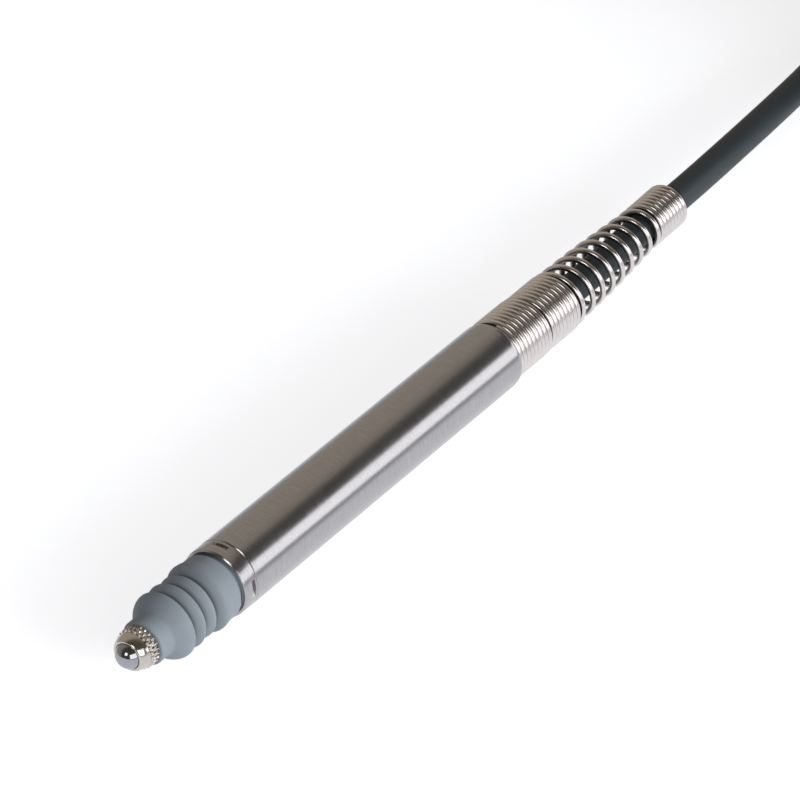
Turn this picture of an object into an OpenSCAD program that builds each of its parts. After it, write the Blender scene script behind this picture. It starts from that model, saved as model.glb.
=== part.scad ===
// Inductive gauging probe with a linear ball guide, lying on its side along X.
// The contact ball is at the -X end, the cable leaves at the +X end, and the stem touches z = 0.

/* [Stem] */
// Outside diameter of the clamping stem
body_d = 8; // [7.8:0.05:12]
// Length of the plain stem tube
body_len = 47.65; // [46.5:0.05:60]
// Wall of the stem tube
body_wall = 0.6; // [0.4:0.05:0.8]
// Chamfer on the front end of the stem tube
body_chamfer = 0.1; // [0.05:0.05:0.2]
// Length of the rounded rear edge of the stem
body_round_len = 0.7; // [0.2:0.05:0.8]
// Depth of the rounded rear edge of the stem
body_round_depth = 0.25; // [0.1:0.05:0.3]

/* [Front ring] */
// Length of the ring that shows ahead of the stem
ring_len = 2.05; // [1.9:0.05:3]
// How much smaller the ring is than the stem, on the diameter
ring_step = 0.04; // [0:0.01:0.2]
// Length of the ring's shank inside the stem
ring_shank_len = 4; // [2:0.1:4.5]
// Number of spanner notches
notch_count = 4; // [2:1:6]
// Width of a spanner notch along the stem
notch_w = 0.5; // [0.3:0.05:0.6]
// Depth of a spanner notch at its middle
notch_depth = 0.45; // [0.2:0.05:0.5]
// Diameter of the disc that cuts a notch
notch_cutter_d = 3.4; // [2.5:0.1:5]
// Distance of the notches from the joint between ring and stem
notch_setback = 0.4; // [0.3:0.05:0.5]
// Turn of the notches about the stem
notch_turn = -4.5; // [-45:0.5:45]

/* [Contact tip] */
// Diameter of the contact ball
ball_d = 3; // [2:0.1:3.4]
// Distance the ball stands out of its holder
ball_out = 1.05; // [0.7:0.05:1.2]
// Largest diameter of the tip holder, over the knurl
tip_d = 4.6; // [4.2:0.05:5]
// Length of the domed nose of the holder
tip_nose_len = 1.2; // [0.7:0.05:1.4]
// Length of the knurled grip of the holder
tip_grip_len = 1.24; // [0.9:0.02:2]
// Knurl grooves in each direction
knurl_count = 24; // [16:2:36]
// Depth of the knurl grooves
knurl_depth = 0.13; // [0.05:0.01:0.15]
// Slant of the knurl grooves against the axis, in degrees
knurl_slant = 35; // [25:1:40]
// Diameter of the holder's screwed stud
stud_d = 2; // [1.6:0.1:2.2]
// Length of the holder's screwed stud
stud_len = 4.2; // [3:0.1:5]

/* [Bellows] */
// Distance from the ring's front face to the bellows' front end
bellows_len = 11.9; // [11:0.1:13]
// Diameter of the bellows' front collar
bellows_collar_d = 5.06; // [4.9:0.02:5.4]
// Length of the bellows' front collar
bellows_collar_len = 1.8; // [1.6:0.05:2]
// Diameter of the cuff in front of the ring
bellows_cuff_d = 7.55; // [7.2:0.05:7.7]
// Dark gap between cuff and ring
bellows_gap = 0.5; // [0.2:0.05:0.6]
// Length of the bellows' tail inside the ring
bellows_tail_len = 0.8; // [0.4:0.05:0.9]
// Thickness of the rubber in the folds
bellows_wall = 0.45; // [0.3:0.05:0.6]

/* [Spindle] */
// Diameter of the ground spindle
spindle_d = 3; // [2.8:0.05:3.2]
// Travel of the spindle from its rest to its stop
spindle_travel = 3; // [2:0.1:3.2]
// Diameter of the neck that the bellows grips
neck_d = 3.4; // [3:0.05:3.6]
// Diameter of the flange behind the neck
flange_d = 4.2; // [3.9:0.05:4.3]
// Thickness of the flange behind the neck
flange_t = 0.5; // [0.3:0.05:0.8]

/* [Ball guide] */
// Diameter of a bearing ball
guide_ball_d = 0.9; // [0.8:0.02:1]
// Balls in one ring of the cage
guide_ball_count = 8; // [5:1:9]
// Rings of balls in the cage
guide_ring_count = 5; // [3:1:6]
// Distance between two rings of balls
guide_ring_pitch = 1.5; // [1.3:0.05:1.6]
// Wall of the ball cage
cage_wall = 0.6; // [0.4:0.05:0.7]
// Distance from the stem's front end to the cage at rest
cage_front = 5.5; // [5:0.1:6]
// Length of the guide sleeve
sleeve_len = 19; // [18:0.1:20]
// Diameter of the anti-rotation pin
key_pin_d = 0.8; // [0.6:0.05:0.9]
// Distance of the anti-rotation pin behind the stem's front end, at rest
key_pin_at = 16.2; // [15.6:0.1:18.2]
// Running clearance of the guide, on the radius
run_clear = 0.05; // [0.02:0.01:0.1]

/* [Return spring] */
// Outside diameter of the return spring
return_d = 4; // [3.6:0.05:4.2]
// Wire of the return spring
return_wire = 0.35; // [0.25:0.01:0.4]
// Turns of the return spring
return_turns = 9; // [7:1:11]
// Length of the return spring at rest
return_len = 8; // [7:0.1:9.4]
// Depth of the spring head's socket for the core rod
rod_socket = 1.6; // [1:0.1:1.8]
// Thickness of the spring's fixed seat
seat_t = 1; // [0.6:0.05:1.2]

/* [Coil system] */
// Diameter of the soft iron core
core_d = 1.8; // [1.6:0.05:1.9]
// Length of the soft iron core
core_len = 6; // [4:0.1:7]
// Diameter of the rod that carries the core
core_rod_d = 1; // [0.8:0.05:1.2]
// Length of the coil former
bobbin_len = 10.2; // [9:0.1:12.2]
// Thickness of the former's flanges
bobbin_flange_t = 0.4; // [0.3:0.05:0.6]
// Bore of the coil former
bobbin_bore_d = 2.4; // [2.2:0.05:2.6]
// Diameter of the windings
winding_d = 5.4; // [4.8:0.05:5.6]
// Wall of the magnetic shield
shield_wall = 0.35; // [0.2:0.05:0.4]
// Thickness of the solder board
board_t = 0.5; // [0.4:0.05:0.6]
// Number of wires in the cable
wire_count = 4; // [3:1:5]

/* [Rear bush] */
// Length of the bush inside the stem
bush_len = 2.6; // [2.4:0.1:2.8]
// Diameter of the spigot that the strain relief is screwed on
spigot_d = 5.8; // [5.2:0.05:5.9]
// Length of the spigot
spigot_len = 5.2; // [4:0.1:5.6]
// Section of the sealing ring
seal_d = 0.7; // [0.5:0.05:0.8]

/* [Strain relief] */
// Wire of the strain relief spring
relief_wire = 0.68; // [0.5:0.01:0.68]
// Pitch of the closed turns
relief_close_pitch = 0.69; // [0.69:0.01:0.8]
// Pitch of the open turns
relief_open_pitch = 2.165; // [1.6:0.005:2.4]
// Outside diameter of the first closed turns
relief_front_d = 7.6; // [7.5:0.02:7.8]
// Outside diameter of the second closed turns
relief_second_d = 7.4; // [7.3:0.02:7.6]
// Outside diameter half way along the open turns
relief_middle_d = 6.66; // [6.4:0.02:7]
// Outside diameter of the rear closed turns
relief_rear_d = 5.45; // [5.4:0.02:5.8]
// Sideways lean of the spring at its rear end
relief_lean = 0.65; // [0.3:0.05:0.8]
// Sideways seat of the spring on its spigot
relief_offset = 0.18; // [0:0.02:0.2]

/* [Cable] */
// Diameter of the cable
cable_d = 3.5; // [3:0.05:3.56]
// Bend radius at the folds of the hank, to the inner turn
hank_r = 10.5; // [10.5:0.5:12]
// Length of the hank's straight runs
hank_run = 48; // [40:1:56]
// Thickness of the tie straps
tie_t = 0.5; // [0.3:0.1:0.7]
// Width of the tie straps
tie_w = 5; // [3:0.5:8]

/* [Plug] */
// Diameter of the plug's grip
plug_d = 15; // [14:0.5:18]
// Length of the plug's grip
plug_len = 20; // [18:1:26]
// Outside diameter of the plug's metal shroud
shroud_d = 13.2; // [12.8:0.1:13.4]
// Length of the shroud ahead of the grip
shroud_len = 9.6; // [8:0.2:11]
// Wall of the shroud
shroud_wall = 0.5; // [0.4:0.05:0.7]
// Number of contact pins
pin_count = 5; // [3:1:6]
// Diameter of a contact pin
pin_d = 1.4; // [1:0.05:1.5]
// Radius of the circle that the contact pins stand on
pin_circle_r = 3.5; // [3.4:0.1:4]
// Length of the plug's bend relief
boot_len = 14; // [12:1:20]
// Ribs on the bend relief
boot_ribs = 5; // [3:1:7]

/* [Hidden] */

$fn = 64;
tiny = 0.01;
body_r = body_d / 2;
bore_r = body_r - body_wall;
ring_r = (body_d - ring_step) / 2;
fit_gap = 0.02;

// Stations are distances along the stem, counted from the joint between ring and stem
ring_front = -ring_len;
bellows_front = ring_front - bellows_len;
tip_nose_back = bellows_front - tip_grip_len;
tip_front = tip_nose_back - tip_nose_len;
ball_r = ball_d / 2;
ball_center = tip_front - ball_out + ball_r;
ball_lip_r = sqrt(ball_r * ball_r - (ball_out - ball_r) * (ball_out - ball_r));
knurl_floor = 0.05;
knurl_trace = 0.01;
neck_back = bellows_front + bellows_collar_len;
flange_back = neck_back + flange_t;

sleeve_front = ring_shank_len;
sleeve_back = sleeve_front + sleeve_len;
guide_circle_r = spindle_d / 2 + run_clear + guide_ball_d / 2;
sleeve_bore_r = guide_circle_r + guide_ball_d / 2 + run_clear;
cage_len = guide_ring_count * guide_ring_pitch;
spring_head_t = 0.6;
// The key pin ends this far under the stem's bore, and the rod passes fixed pieces with this clearance
key_pin_short = 0.35;
rod_clear = 0.35;
spindle_back = key_pin_at + key_pin_d / 2 + rod_socket + 0.4;
return_front = spindle_back;
return_back = return_front + return_len;
seat_front = return_back;
bush_front = body_len - bush_len;
board_gap = 0.9;
board_back = bush_front - board_gap;
board_front = board_back - board_t;
former_gap = 0.6;
// The coil system stands against the rear end, and a longer former grows towards the front
bobbin_back = board_front - former_gap;
bobbin_front = bobbin_back - bobbin_len;
// At rest the core lies half the travel ahead of the coil system's middle
core_middle = (bobbin_front + bobbin_back) / 2 - spindle_travel / 2;
core_front = core_middle - core_len / 2;
core_back = core_front + core_len;
wire_circle_r = 1.4;
// The cable's wires are bare this far behind the bush's front face
wire_strip = 0.28;
cable_start = bush_front + wire_strip;
lead_r = 0.25;
lead_stub = 0.3;
bobbin_tube_r = bobbin_bore_d / 2 + 0.25;
winding_len = (bobbin_len - 4 * bobbin_flange_t) / 3;
shield_r = bore_r - fit_gap;
cable_r = cable_d / 2;
cable_bore_r = cable_r + 0.03;
spigot_r = spigot_d / 2;
spigot_back = body_len + spigot_len;

// The strain relief spring: station and outside diameter against the number of turns
relief_front_turns = 8;
relief_second_turns = 7;
relief_open_turns = 8;
relief_rear_turns = 7.5;
relief_step_pitch = relief_close_pitch + 0.27;
relief_widen_pitch = relief_close_pitch + 0.41;
relief_start = body_len + relief_wire / 2 + 0.03;
turn_a = relief_front_turns + 0.1;
turn_b = turn_a + 1;
turn_c = turn_b + relief_second_turns;
turn_d = turn_c + 1;
turn_e = turn_d + relief_open_turns;
turn_f = turn_e + 1;
turn_g = turn_f + relief_rear_turns;
station_a = relief_start + turn_a * relief_close_pitch;
station_b = station_a + relief_step_pitch;
station_c = station_b + relief_second_turns * relief_close_pitch;
station_d = station_c + relief_widen_pitch;
station_e = station_d + relief_open_turns * relief_open_pitch;
station_f = station_e + relief_step_pitch;
station_g = station_f + relief_rear_turns * relief_close_pitch;
relief_back = station_g + relief_wire / 2;
relief_steps = 18;
relief_sides = 6;
relief_start_angle = 95;
lean_from = spigot_back + 1;

// The probe lies with the middle of its length over the origin
joint_x = -(relief_back + ball_center - ball_r) / 2;

// Route of the cable from its end in the bush to the hank, as x, y and z
cable_route = [
    [joint_x + cable_start, 0, body_r], [16, 0, 4], [20.5, 0, 4], [28, 0.1, 4], [35, 0.28, 4], [42, 0.5, 4],
    [50, 0.74, 4], [57, 0.94, 3.95], [64, 1.27, 3.85], [71, 1.72, 3.65], [78, 2.3, 3.35],
    [85, 3.05, 2.95], [91, 3.95, 2.55], [96, 4.7, 2.32], [101, 5.13, 2.25]
];
// Route of the last run of cable: a bend and a run on top of the hank, then down to the plug
tail_route = [
    [107, -19.3, 19.8], [102.5, -19.2, 19.8], [98.5, -17.7, 19.8], [95.3, -14.8, 19.8],
    [93.6, -10.9, 19.8], [93.6, -6.7, 19.8], [95.3, -2.8, 19.8], [98.5, 0.1, 19.8],
    [102.5, 1.6, 19.8], [107, 1.7, 19.8], [116, 1.7, 19.8], [125, 1.7, 19.8], [134, 1.65, 19.8],
    [142, 1.4, 19.8], [149, 0.9, 19.8], [154, 0.45, 19.8], [158, 0.15, 19.8], [161, 0.02, 19.8],
    [164, 0, 19.75], [167, 0, 19.45], [171, 0, 18.2], [175, 0, 15.6], [179, 0, 11.7],
    [183, 0, 9.1], [187, 0, 7.85], [191, 0, 7.5], [195, 0, 7.5]
];
cable_sides = 8;
hank_x = 104;
hank_y = -8.8;
hank_columns = 2;
hank_layers = 5;
hank_outer_r = hank_r + (hank_columns - 0.5) * cable_d;
hank_inner_r = hank_r - cable_r;
hank_h = hank_layers * cable_d;
strap_slack = 0.05;
plug_x = 191;
plug_y = 0;
plug_z = plug_d / 2;
insert_t = 1.6;
pins_short = 1.6;
grip_x = plug_x + boot_len;
shroud_x = grip_x + plug_len;

// Places children on the stem's axis, with their +Z along the stem at the given station
module on_axis(station = 0) {
    translate([joint_x + station, 0, body_r]) rotate([0, 90, 0]) children();
}

// A turned ring between two stations
module turned(from, to, r_out, r_in = 0) {
    on_axis(from) difference() {
        cylinder(h = to - from, r = r_out);
        if (r_in > 0) translate([0, 0, -tiny]) cylinder(h = to - from + 2 * tiny, r = r_in);
    }
}

// A turned piece whose profile is given as points of radius and station
module revolved(points) {
    on_axis() rotate_extrude() polygon(points);
}

function norm3(v) = v / norm(v);

// Rings of points round a path, each square to it
function path_dir(path, i) =
    norm3(path[min(i + 1, len(path) - 1)] - path[max(i - 1, 0)]);
function path_ring(path, i, r, sides, up) =
    let (d = path_dir(path, i), u = norm3(cross(d, up)), v = cross(u, d))
    [for (k = [0:sides - 1]) path[i] + r * (cos(360 * k / sides) * u + sin(360 * k / sides) * v)];

// A closed tube from rings that all have as many points
module tube_of(rings, sides) {
    count = len(rings);
    points = [for (ring = rings) for (p = ring) p];
    walls = [for (i = [0:count - 2]) for (k = [0:sides - 1])
        let (a = i * sides + k, b = i * sides + (k + 1) % sides)
        for (f = [[a, a + sides, b + sides], [a, b + sides, b]]) f];
    front = [for (k = [0:sides - 1]) k];
    back = [for (k = [0:sides - 1]) count * sides - 1 - k];
    polyhedron(points = points, faces = concat([front], [back], walls), convexity = 6);
}

module swept(path, r, sides) {
    tube_of([for (i = [0:len(path) - 1]) path_ring(path, i, r, sides, [0, 0, 1])], sides);
}

// Contact end

module contact_ball() {
    color("slategray") on_axis(ball_center) sphere(r = ball_r);
}

// Grooves with sloping sides and a narrow floor across the grip; those of one slant are a trace deeper
module knurl_grooves() {
    over = 0.1;
    half_floor = knurl_floor / 2;
    half_mouth = half_floor + knurl_depth + over;
    for (way = [-1, 1], k = [0:knurl_count - 1]) {
        depth = knurl_depth + way * knurl_trace;
        rotate([0, 0, 360 * k / knurl_count])
            translate([tip_d / 2, 0, tip_grip_len / 2])
            rotate([way * knurl_slant, 0, 0])
            linear_extrude(tip_grip_len * 2.2, center = true)
            polygon([[-depth, -half_floor], [over, -half_mouth], [over, half_mouth], [-depth, half_floor]]);
    }
}

module contact_tip() {
    nose_r = tip_d / 2 - knurl_depth - 0.05;
    nose_steps = 6;
    color("silver") difference() {
        union() {
            revolved(concat(
                [[0, ball_center], [0, tip_front + tiny], [ball_lip_r, tip_front]],
                [for (i = [0:nose_steps])
                    let (a = 90 * i / nose_steps)
                    [ball_lip_r + 0.12 + (nose_r - ball_lip_r - 0.12) * sin(a),
                        tip_nose_back - tip_nose_len * cos(a)]],
                [[nose_r, tip_nose_back + tiny], [0, tip_nose_back + tiny]]
            ));
            on_axis(tip_nose_back) difference() {
                cylinder(h = tip_grip_len, r = tip_d / 2);
                knurl_grooves();
            }
            turned(bellows_front - tiny, bellows_front + stud_len, stud_d / 2);
        }
        on_axis(ball_center) sphere(r = ball_r);
    }
}

// The bellows' crests and valleys from the collar to the cuff, as station and outside radius
cuff_r = bellows_cuff_d / 2;
collar_r = bellows_collar_d / 2;
fold_from = bellows_front + bellows_collar_len;
cuff_back = ring_front - bellows_gap;
fold_len = cuff_back - fold_from;
folds = [
    [0, collar_r], [0.2, cuff_r + 0.02], [0.29, cuff_r - 0.72], [0.39, cuff_r - 0.06],
    [0.48, cuff_r - 0.72], [0.58, cuff_r - 0.16], [0.66, cuff_r - 0.7], [0.76, cuff_r + 0.17],
    [0.88, cuff_r - 0.03]
];
fold_steps = 6;

// A cosine wave between the crests and valleys
function fold_line(wall) = [for (i = [0:len(folds) - 2]) for (k = [0:fold_steps - 1])
    let (t = k / fold_steps, s = (1 - cos(180 * t)) / 2)
    [folds[i][1] + (folds[i + 1][1] - folds[i][1]) * s - wall,
        fold_from + fold_len * (folds[i][0] + (folds[i + 1][0] - folds[i][0]) * t)]];

module bellows() {
    tail_r = ring_r - 0.65;
    tail_back = ring_front + bellows_tail_len;
    edge = 0.15;
    bore = neck_d / 2 + run_clear;
    pocket = flange_d / 2 + run_clear;
    inner = [for (p = fold_line(bellows_wall)) if (p[0] > pocket && p[1] > flange_back + run_clear) p];
    color("lightslategray") revolved(concat(
        [[bore, bellows_front + fit_gap]],
        [[collar_r - edge, bellows_front + fit_gap], [collar_r, bellows_front + edge]],
        fold_line(0),
        [[cuff_r, fold_from + fold_len * 0.88], [cuff_r, cuff_back - edge], [cuff_r - edge, cuff_back]],
        [[tail_r, cuff_back], [tail_r, tail_back], [tail_r - bellows_wall, tail_back]],
        [[tail_r - bellows_wall, cuff_back]],
        [for (i = [len(inner) - 1:-1:0]) inner[i]],
        [[pocket, flange_back + run_clear], [pocket, fold_from - run_clear], [bore, fold_from - run_clear]]
    ));
}

// Stem

module front_ring() {
    edge = 0.18;
    joint_edge = 0.08;
    tail_bore_r = ring_r - 0.6;
    tail_bore_back = ring_front + bellows_tail_len + 0.1;
    spindle_bore_r = spindle_d / 2 + 0.3;
    color("silver") difference() {
        revolved([
            [tail_bore_r, ring_front], [ring_r - edge, ring_front], [ring_r, ring_front + edge],
            [ring_r, -joint_edge], [ring_r - joint_edge, 0], [bore_r - fit_gap, 0],
            [bore_r - fit_gap, ring_shank_len], [spindle_bore_r, ring_shank_len],
            [spindle_bore_r, tail_bore_back], [tail_bore_r, tail_bore_back]
        ]);
        on_axis(-notch_setback - notch_w)
            for (k = [0:notch_count - 1])
                rotate([0, 0, 180 + 360 * k / notch_count + notch_turn])
                translate([ring_r - notch_depth + notch_cutter_d / 2, 0, 0])
                cylinder(h = notch_w, d = notch_cutter_d);
    }
}

module body_tube() {
    c = body_chamfer;
    round_steps = 4;
    round_from = body_len - body_round_len;
    color("silver") revolved(concat(
        [[bore_r, 0], [body_r - c, 0], [body_r, c]],
        [for (i = [0:round_steps])
            let (a = 90 * i / round_steps)
            [body_r - body_round_depth * (1 - cos(a)), round_from + body_round_len * sin(a)]],
        [[bore_r, body_len]]
    ));
}

// Spindle and its ball guide

module spindle() {
    r = spindle_d / 2;
    head_r = return_d / 2 + 0.1;
    thread_r = stud_d / 2 + fit_gap;
    rod_r = core_rod_d / 2 + fit_gap;
    color("gainsboro") difference() {
        revolved([
            [0, bellows_front + fit_gap], [neck_d / 2, bellows_front + fit_gap],
            [neck_d / 2, neck_back], [flange_d / 2, neck_back], [flange_d / 2, flange_back],
            [r, flange_back], [r, spindle_back - spring_head_t],
            [head_r, spindle_back - spring_head_t], [head_r, spindle_back], [0, spindle_back]
        ]);
        on_axis(bellows_front) cylinder(h = stud_len + 0.2, r = thread_r);
        on_axis(spindle_back - rod_socket) cylinder(h = rod_socket + 1, r = rod_r);
        translate([joint_x + key_pin_at, 0, body_r])
            cylinder(h = flange_d, r = key_pin_d / 2 + fit_gap);
    }
}

module key_pin() {
    color("dimgray") translate([joint_x + key_pin_at, 0, body_r])
        cylinder(h = bore_r - key_pin_short, r = key_pin_d / 2);
}

module guide_sleeve() {
    slot_w = key_pin_d + 2 * run_clear;
    slot_front = key_pin_at - key_pin_d / 2 - 0.2;
    slot_len = spindle_travel + key_pin_d + 0.4;
    color("lightgray") difference() {
        turned(sleeve_front, sleeve_back, bore_r - fit_gap, sleeve_bore_r);
        translate([joint_x + slot_front, -slot_w / 2, body_r])
            cube([slot_len, slot_w, body_r]);
    }
}

module guide_ball_places() {
    for (row = [0:guide_ring_count - 1], k = [0:guide_ball_count - 1])
        on_axis(cage_front + (row + 0.5) * guide_ring_pitch)
            rotate([0, 0, 360 * (k + (row % 2) / 2) / guide_ball_count])
            translate([guide_circle_r, 0, 0])
            children();
}

module ball_cage() {
    color("peru") difference() {
        turned(cage_front, cage_front + cage_len,
            guide_circle_r + cage_wall / 2, guide_circle_r - cage_wall / 2);
        guide_ball_places()
            rotate([0, 90, 0])
            cylinder(h = 2 * cage_wall, r = guide_ball_d / 2 + 0.04, center = true, $fn = 24);
    }
}

module guide_balls() {
    color("white") guide_ball_places() sphere(d = guide_ball_d, $fn = 24);
}

module return_spring() {
    r = (return_d - return_wire) / 2;
    steps = 14;
    sides = 5;
    start = return_front + return_wire / 2 + tiny;
    pitch = (return_len - return_wire - 2 * tiny) / return_turns;
    rings = [for (i = [0:return_turns * steps])
        let (a = 360 * i / steps, z = start + pitch * i / steps)
        [for (k = [0:sides - 1])
            let (q = 360 * k / sides, rr = r + return_wire / 2 * cos(q))
            [joint_x + z - return_wire / 2 * sin(q), rr * cos(a), body_r + rr * sin(a)]]];
    color("silver") tube_of(rings, sides);
}

module spring_seat() {
    color("darkkhaki") turned(seat_front, seat_front + seat_t, bore_r - fit_gap, core_rod_d / 2 + rod_clear);
}

// Coil system

module core_rod() {
    color("gold") turned(spindle_back - rod_socket + fit_gap, core_front, core_rod_d / 2);
}

module core() {
    color("dimgray") turned(core_front, core_back, core_d / 2);
}

module coil_bobbin() {
    flange_r = shield_r - shield_wall - fit_gap;
    color("ivory") {
        turned(bobbin_front, bobbin_back, bobbin_tube_r, bobbin_bore_d / 2);
        for (k = [0:3])
            turned(bobbin_front + k * (winding_len + bobbin_flange_t),
                bobbin_front + k * (winding_len + bobbin_flange_t) + bobbin_flange_t,
                flange_r, bobbin_tube_r - tiny);
    }
}

module winding(k) {
    from = bobbin_front + bobbin_flange_t + k * (winding_len + bobbin_flange_t);
    color("sienna") turned(from + fit_gap, from + winding_len - fit_gap,
        winding_d / 2, bobbin_tube_r + fit_gap);
}

module winding_front() {
    winding(0);
}

module winding_middle() {
    winding(1);
}

module winding_rear() {
    winding(2);
}

module magnetic_shield() {
    color("gray") turned(bobbin_front, bobbin_back, shield_r, shield_r - shield_wall);
}

module solder_board() {
    color("darkgreen") difference() {
        turned(board_front, board_back, bore_r - 0.1);
        for (k = [0:wire_count - 1])
            on_axis(board_front - lead_stub)
                rotate([0, 0, 360 * k / wire_count + 45])
                translate([wire_circle_r, 0, 0])
                cylinder(h = board_t + 2 * lead_stub, r = lead_r + run_clear, $fn = 24);
    }
}

module lead_wires() {
    color("firebrick") for (k = [0:wire_count - 1])
        on_axis(board_front - lead_stub)
            rotate([0, 0, 360 * k / wire_count + 45])
            translate([wire_circle_r, 0, 0])
            cylinder(h = cable_start - board_front + lead_stub, r = lead_r, $fn = 24);
}

// Rear end

module rear_bush() {
    groove_at = bush_front + 1;
    color("silver") difference() {
        union() {
            turned(bush_front, body_len, bore_r - fit_gap);
            turned(body_len - tiny, spigot_back, spigot_r);
        }
        on_axis(bush_front - 1) cylinder(h = bush_len + spigot_len + 2, r = cable_bore_r);
        on_axis(bush_front - 1) cylinder(h = 1.8, r = cable_r + 0.55);
        on_axis(groove_at) rotate_extrude() translate([bore_r - seal_d / 2, seal_d / 2])
            square([seal_d, seal_d + 2 * fit_gap], center = true);
    }
}

module seal_ring() {
    on_axis(bush_front + 1 + seal_d / 2)
        color("black") rotate_extrude() translate([bore_r - seal_d / 2 + tiny, 0])
            circle(d = seal_d - 2 * fit_gap, $fn = 24);
}

module cable_ferrule() {
    color("silver") turned(bush_front + 0.05, bush_front + 0.75, cable_r + 0.5, cable_r + 0.02);
}

// Station, outside radius and sideways place of the strain relief at a number of turns
function relief_station(n) = lookup(n, [
    [0, relief_start], [turn_a, station_a], [turn_b, station_b], [turn_c, station_c],
    [turn_d, station_d], [turn_e, station_e], [turn_f, station_f], [turn_g, station_g]
]);
function relief_r(n) = lookup(n, [
    [0, relief_front_d / 2], [turn_a, relief_front_d / 2], [turn_b, relief_second_d / 2],
    [turn_c, relief_second_d / 2], [turn_d, relief_second_d / 2 - 0.12],
    [(turn_d + turn_e) / 2 - 0.5, relief_middle_d / 2],
    [turn_e, relief_rear_d / 2], [turn_g, relief_rear_d / 2]
]);
function relief_side(s) =
    relief_offset + relief_lean * pow(max(0, s - lean_from) / (relief_back - lean_from), 1.5);

module relief_spring() {
    wire_r = relief_wire / 2;
    rings = [for (i = [0:round(turn_g * relief_steps)])
        let (n = i / relief_steps, a = relief_start_angle + 360 * n, s = relief_station(n))
        [for (k = [0:relief_sides - 1])
            let (q = 360 * k / relief_sides + 90, rr = relief_r(n) - wire_r + wire_r * cos(q))
            [joint_x + s - wire_r * sin(q), relief_side(s) + rr * cos(a), body_r + rr * sin(a)]]];
    color("silver") tube_of(rings, relief_sides);
}

// Cable

module cable_run() {
    color("darkslategray") swept(cable_route, cable_r, cable_sides);
}

module hank_outline(r) {
    circle(r = r);
    translate([hank_run, 0]) circle(r = r);
    translate([0, -r]) square([hank_run, 2 * r]);
}

module cable_hank() {
    color("darkslategray") translate([hank_x, hank_y, tie_t]) linear_extrude(hank_h) difference() {
        hank_outline(hank_outer_r);
        hank_outline(hank_inner_r);
    }
}

module cable_tail() {
    color("darkslategray") swept(tail_route, cable_r, cable_sides);
}

// The outline of what a strap holds, as y and z; the last run of cable stands on one side's turns
function bundle_outline(y_low, y_high, last_run, grow) =
    let (low = tie_t + strap_slack - grow, step = tie_t + hank_h + grow)
    [[y_low - grow, low], [y_high + grow, low], [y_high + grow, step],
        [y_low + last_run + grow, step + last_run], [y_low - grow, step + last_run]];

module tie_strap(y_low, y_high, last_run) {
    translate([hank_x + (hank_run - tie_w) / 2, 0, 0]) rotate([90, 0, 90])
        linear_extrude(tie_w) difference() {
            polygon(bundle_outline(y_low, y_high, last_run, strap_slack + tie_t));
            polygon(bundle_outline(y_low, y_high, last_run, strap_slack));
        }
}

module hank_ties() {
    color("black") {
        tie_strap(hank_y + hank_inner_r, hank_y + hank_outer_r, cable_d);
        tie_strap(hank_y - hank_outer_r, hank_y - hank_inner_r, 0);
    }
}

// Plug

// Places children on the plug's axis, with their +Z along +X at the given x
module on_plug(x) {
    translate([x, plug_y, plug_z]) rotate([0, 90, 0]) children();
}

module plug_boot() {
    rib_pitch = boot_len / (boot_ribs + 0.5);
    small_r = cable_r + 0.7;
    big_r = 4.6;
    color("black") on_plug(plug_x) difference() {
        union() {
            cylinder(h = boot_len, r1 = small_r, r2 = big_r - 0.5);
            for (k = [0:boot_ribs - 1])
                translate([0, 0, (k + 0.5) * rib_pitch])
                cylinder(h = rib_pitch * 0.55, r = small_r + (big_r - small_r) * (k + 1) / boot_ribs);
        }
        translate([0, 0, -1]) cylinder(h = boot_len + 2, r = cable_bore_r);
    }
}

module plug_grip() {
    r = plug_d / 2;
    flute_count = 12;
    flute_r = 1.3;
    flute_out = 0.9;
    plain_front = 3.5;
    plain_back = 4.5;
    color("dimgray") on_plug(grip_x) difference() {
        rotate_extrude() polygon([
            [0, 0], [r - 2, 0], [r - 0.4, 1.4], [r, 2.2], [r, plug_len - 1], [r - 0.5, plug_len], [0, plug_len]
        ]);
        for (k = [0:flute_count - 1])
            rotate([0, 0, 360 * (k + 0.5) / flute_count])
            translate([r + flute_out, 0, plain_front])
            cylinder(h = plug_len - plain_front - plain_back, r = flute_r, $fn = 24);
    }
}

module plug_shroud() {
    bore = shroud_d / 2 - shroud_wall;
    key_w = 1.6;
    key_h = 0.8;
    key_from = insert_t + 0.4;
    color("silver") on_plug(shroud_x) {
        difference() {
            cylinder(h = shroud_len, r = shroud_d / 2);
            translate([0, 0, -tiny]) cylinder(h = shroud_len + 1, r = bore);
        }
        translate([-bore - shroud_wall / 2, -key_w / 2, key_from])
            cube([key_h + shroud_wall / 2, key_w, shroud_len - key_from - 0.5]);
    }
}

module plug_insert() {
    color("black") on_plug(shroud_x) cylinder(h = insert_t, r = shroud_d / 2 - shroud_wall - fit_gap);
}

module plug_pins() {
    spread = 240;
    point_len = 0.5;
    shank = shroud_len - insert_t - pins_short - point_len;
    color("gold") on_plug(shroud_x + insert_t)
        for (k = [0:pin_count - 1])
            rotate([0, 0, -spread / 2 + spread * k / (pin_count - 1)])
            translate([pin_circle_r, 0, 0]) {
                cylinder(h = shank, d = pin_d, $fn = 24);
                translate([0, 0, shank]) cylinder(h = point_len, d1 = pin_d, d2 = pin_d * 0.6, $fn = 24);
            }
}

contact_ball();
contact_tip();
bellows();
front_ring();
body_tube();
spindle();
key_pin();
guide_sleeve();
ball_cage();
guide_balls();
return_spring();
spring_seat();
core_rod();
core();
coil_bobbin();
winding_front();
winding_middle();
winding_rear();
magnetic_shield();
solder_board();
lead_wires();
rear_bush();
seal_ring();
cable_ferrule();
relief_spring();
cable_run();
cable_hank();
cable_tail();
hank_ties();
plug_boot();
plug_grip();
plug_shroud();
plug_insert();
plug_pins();
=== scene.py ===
import math

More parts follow.
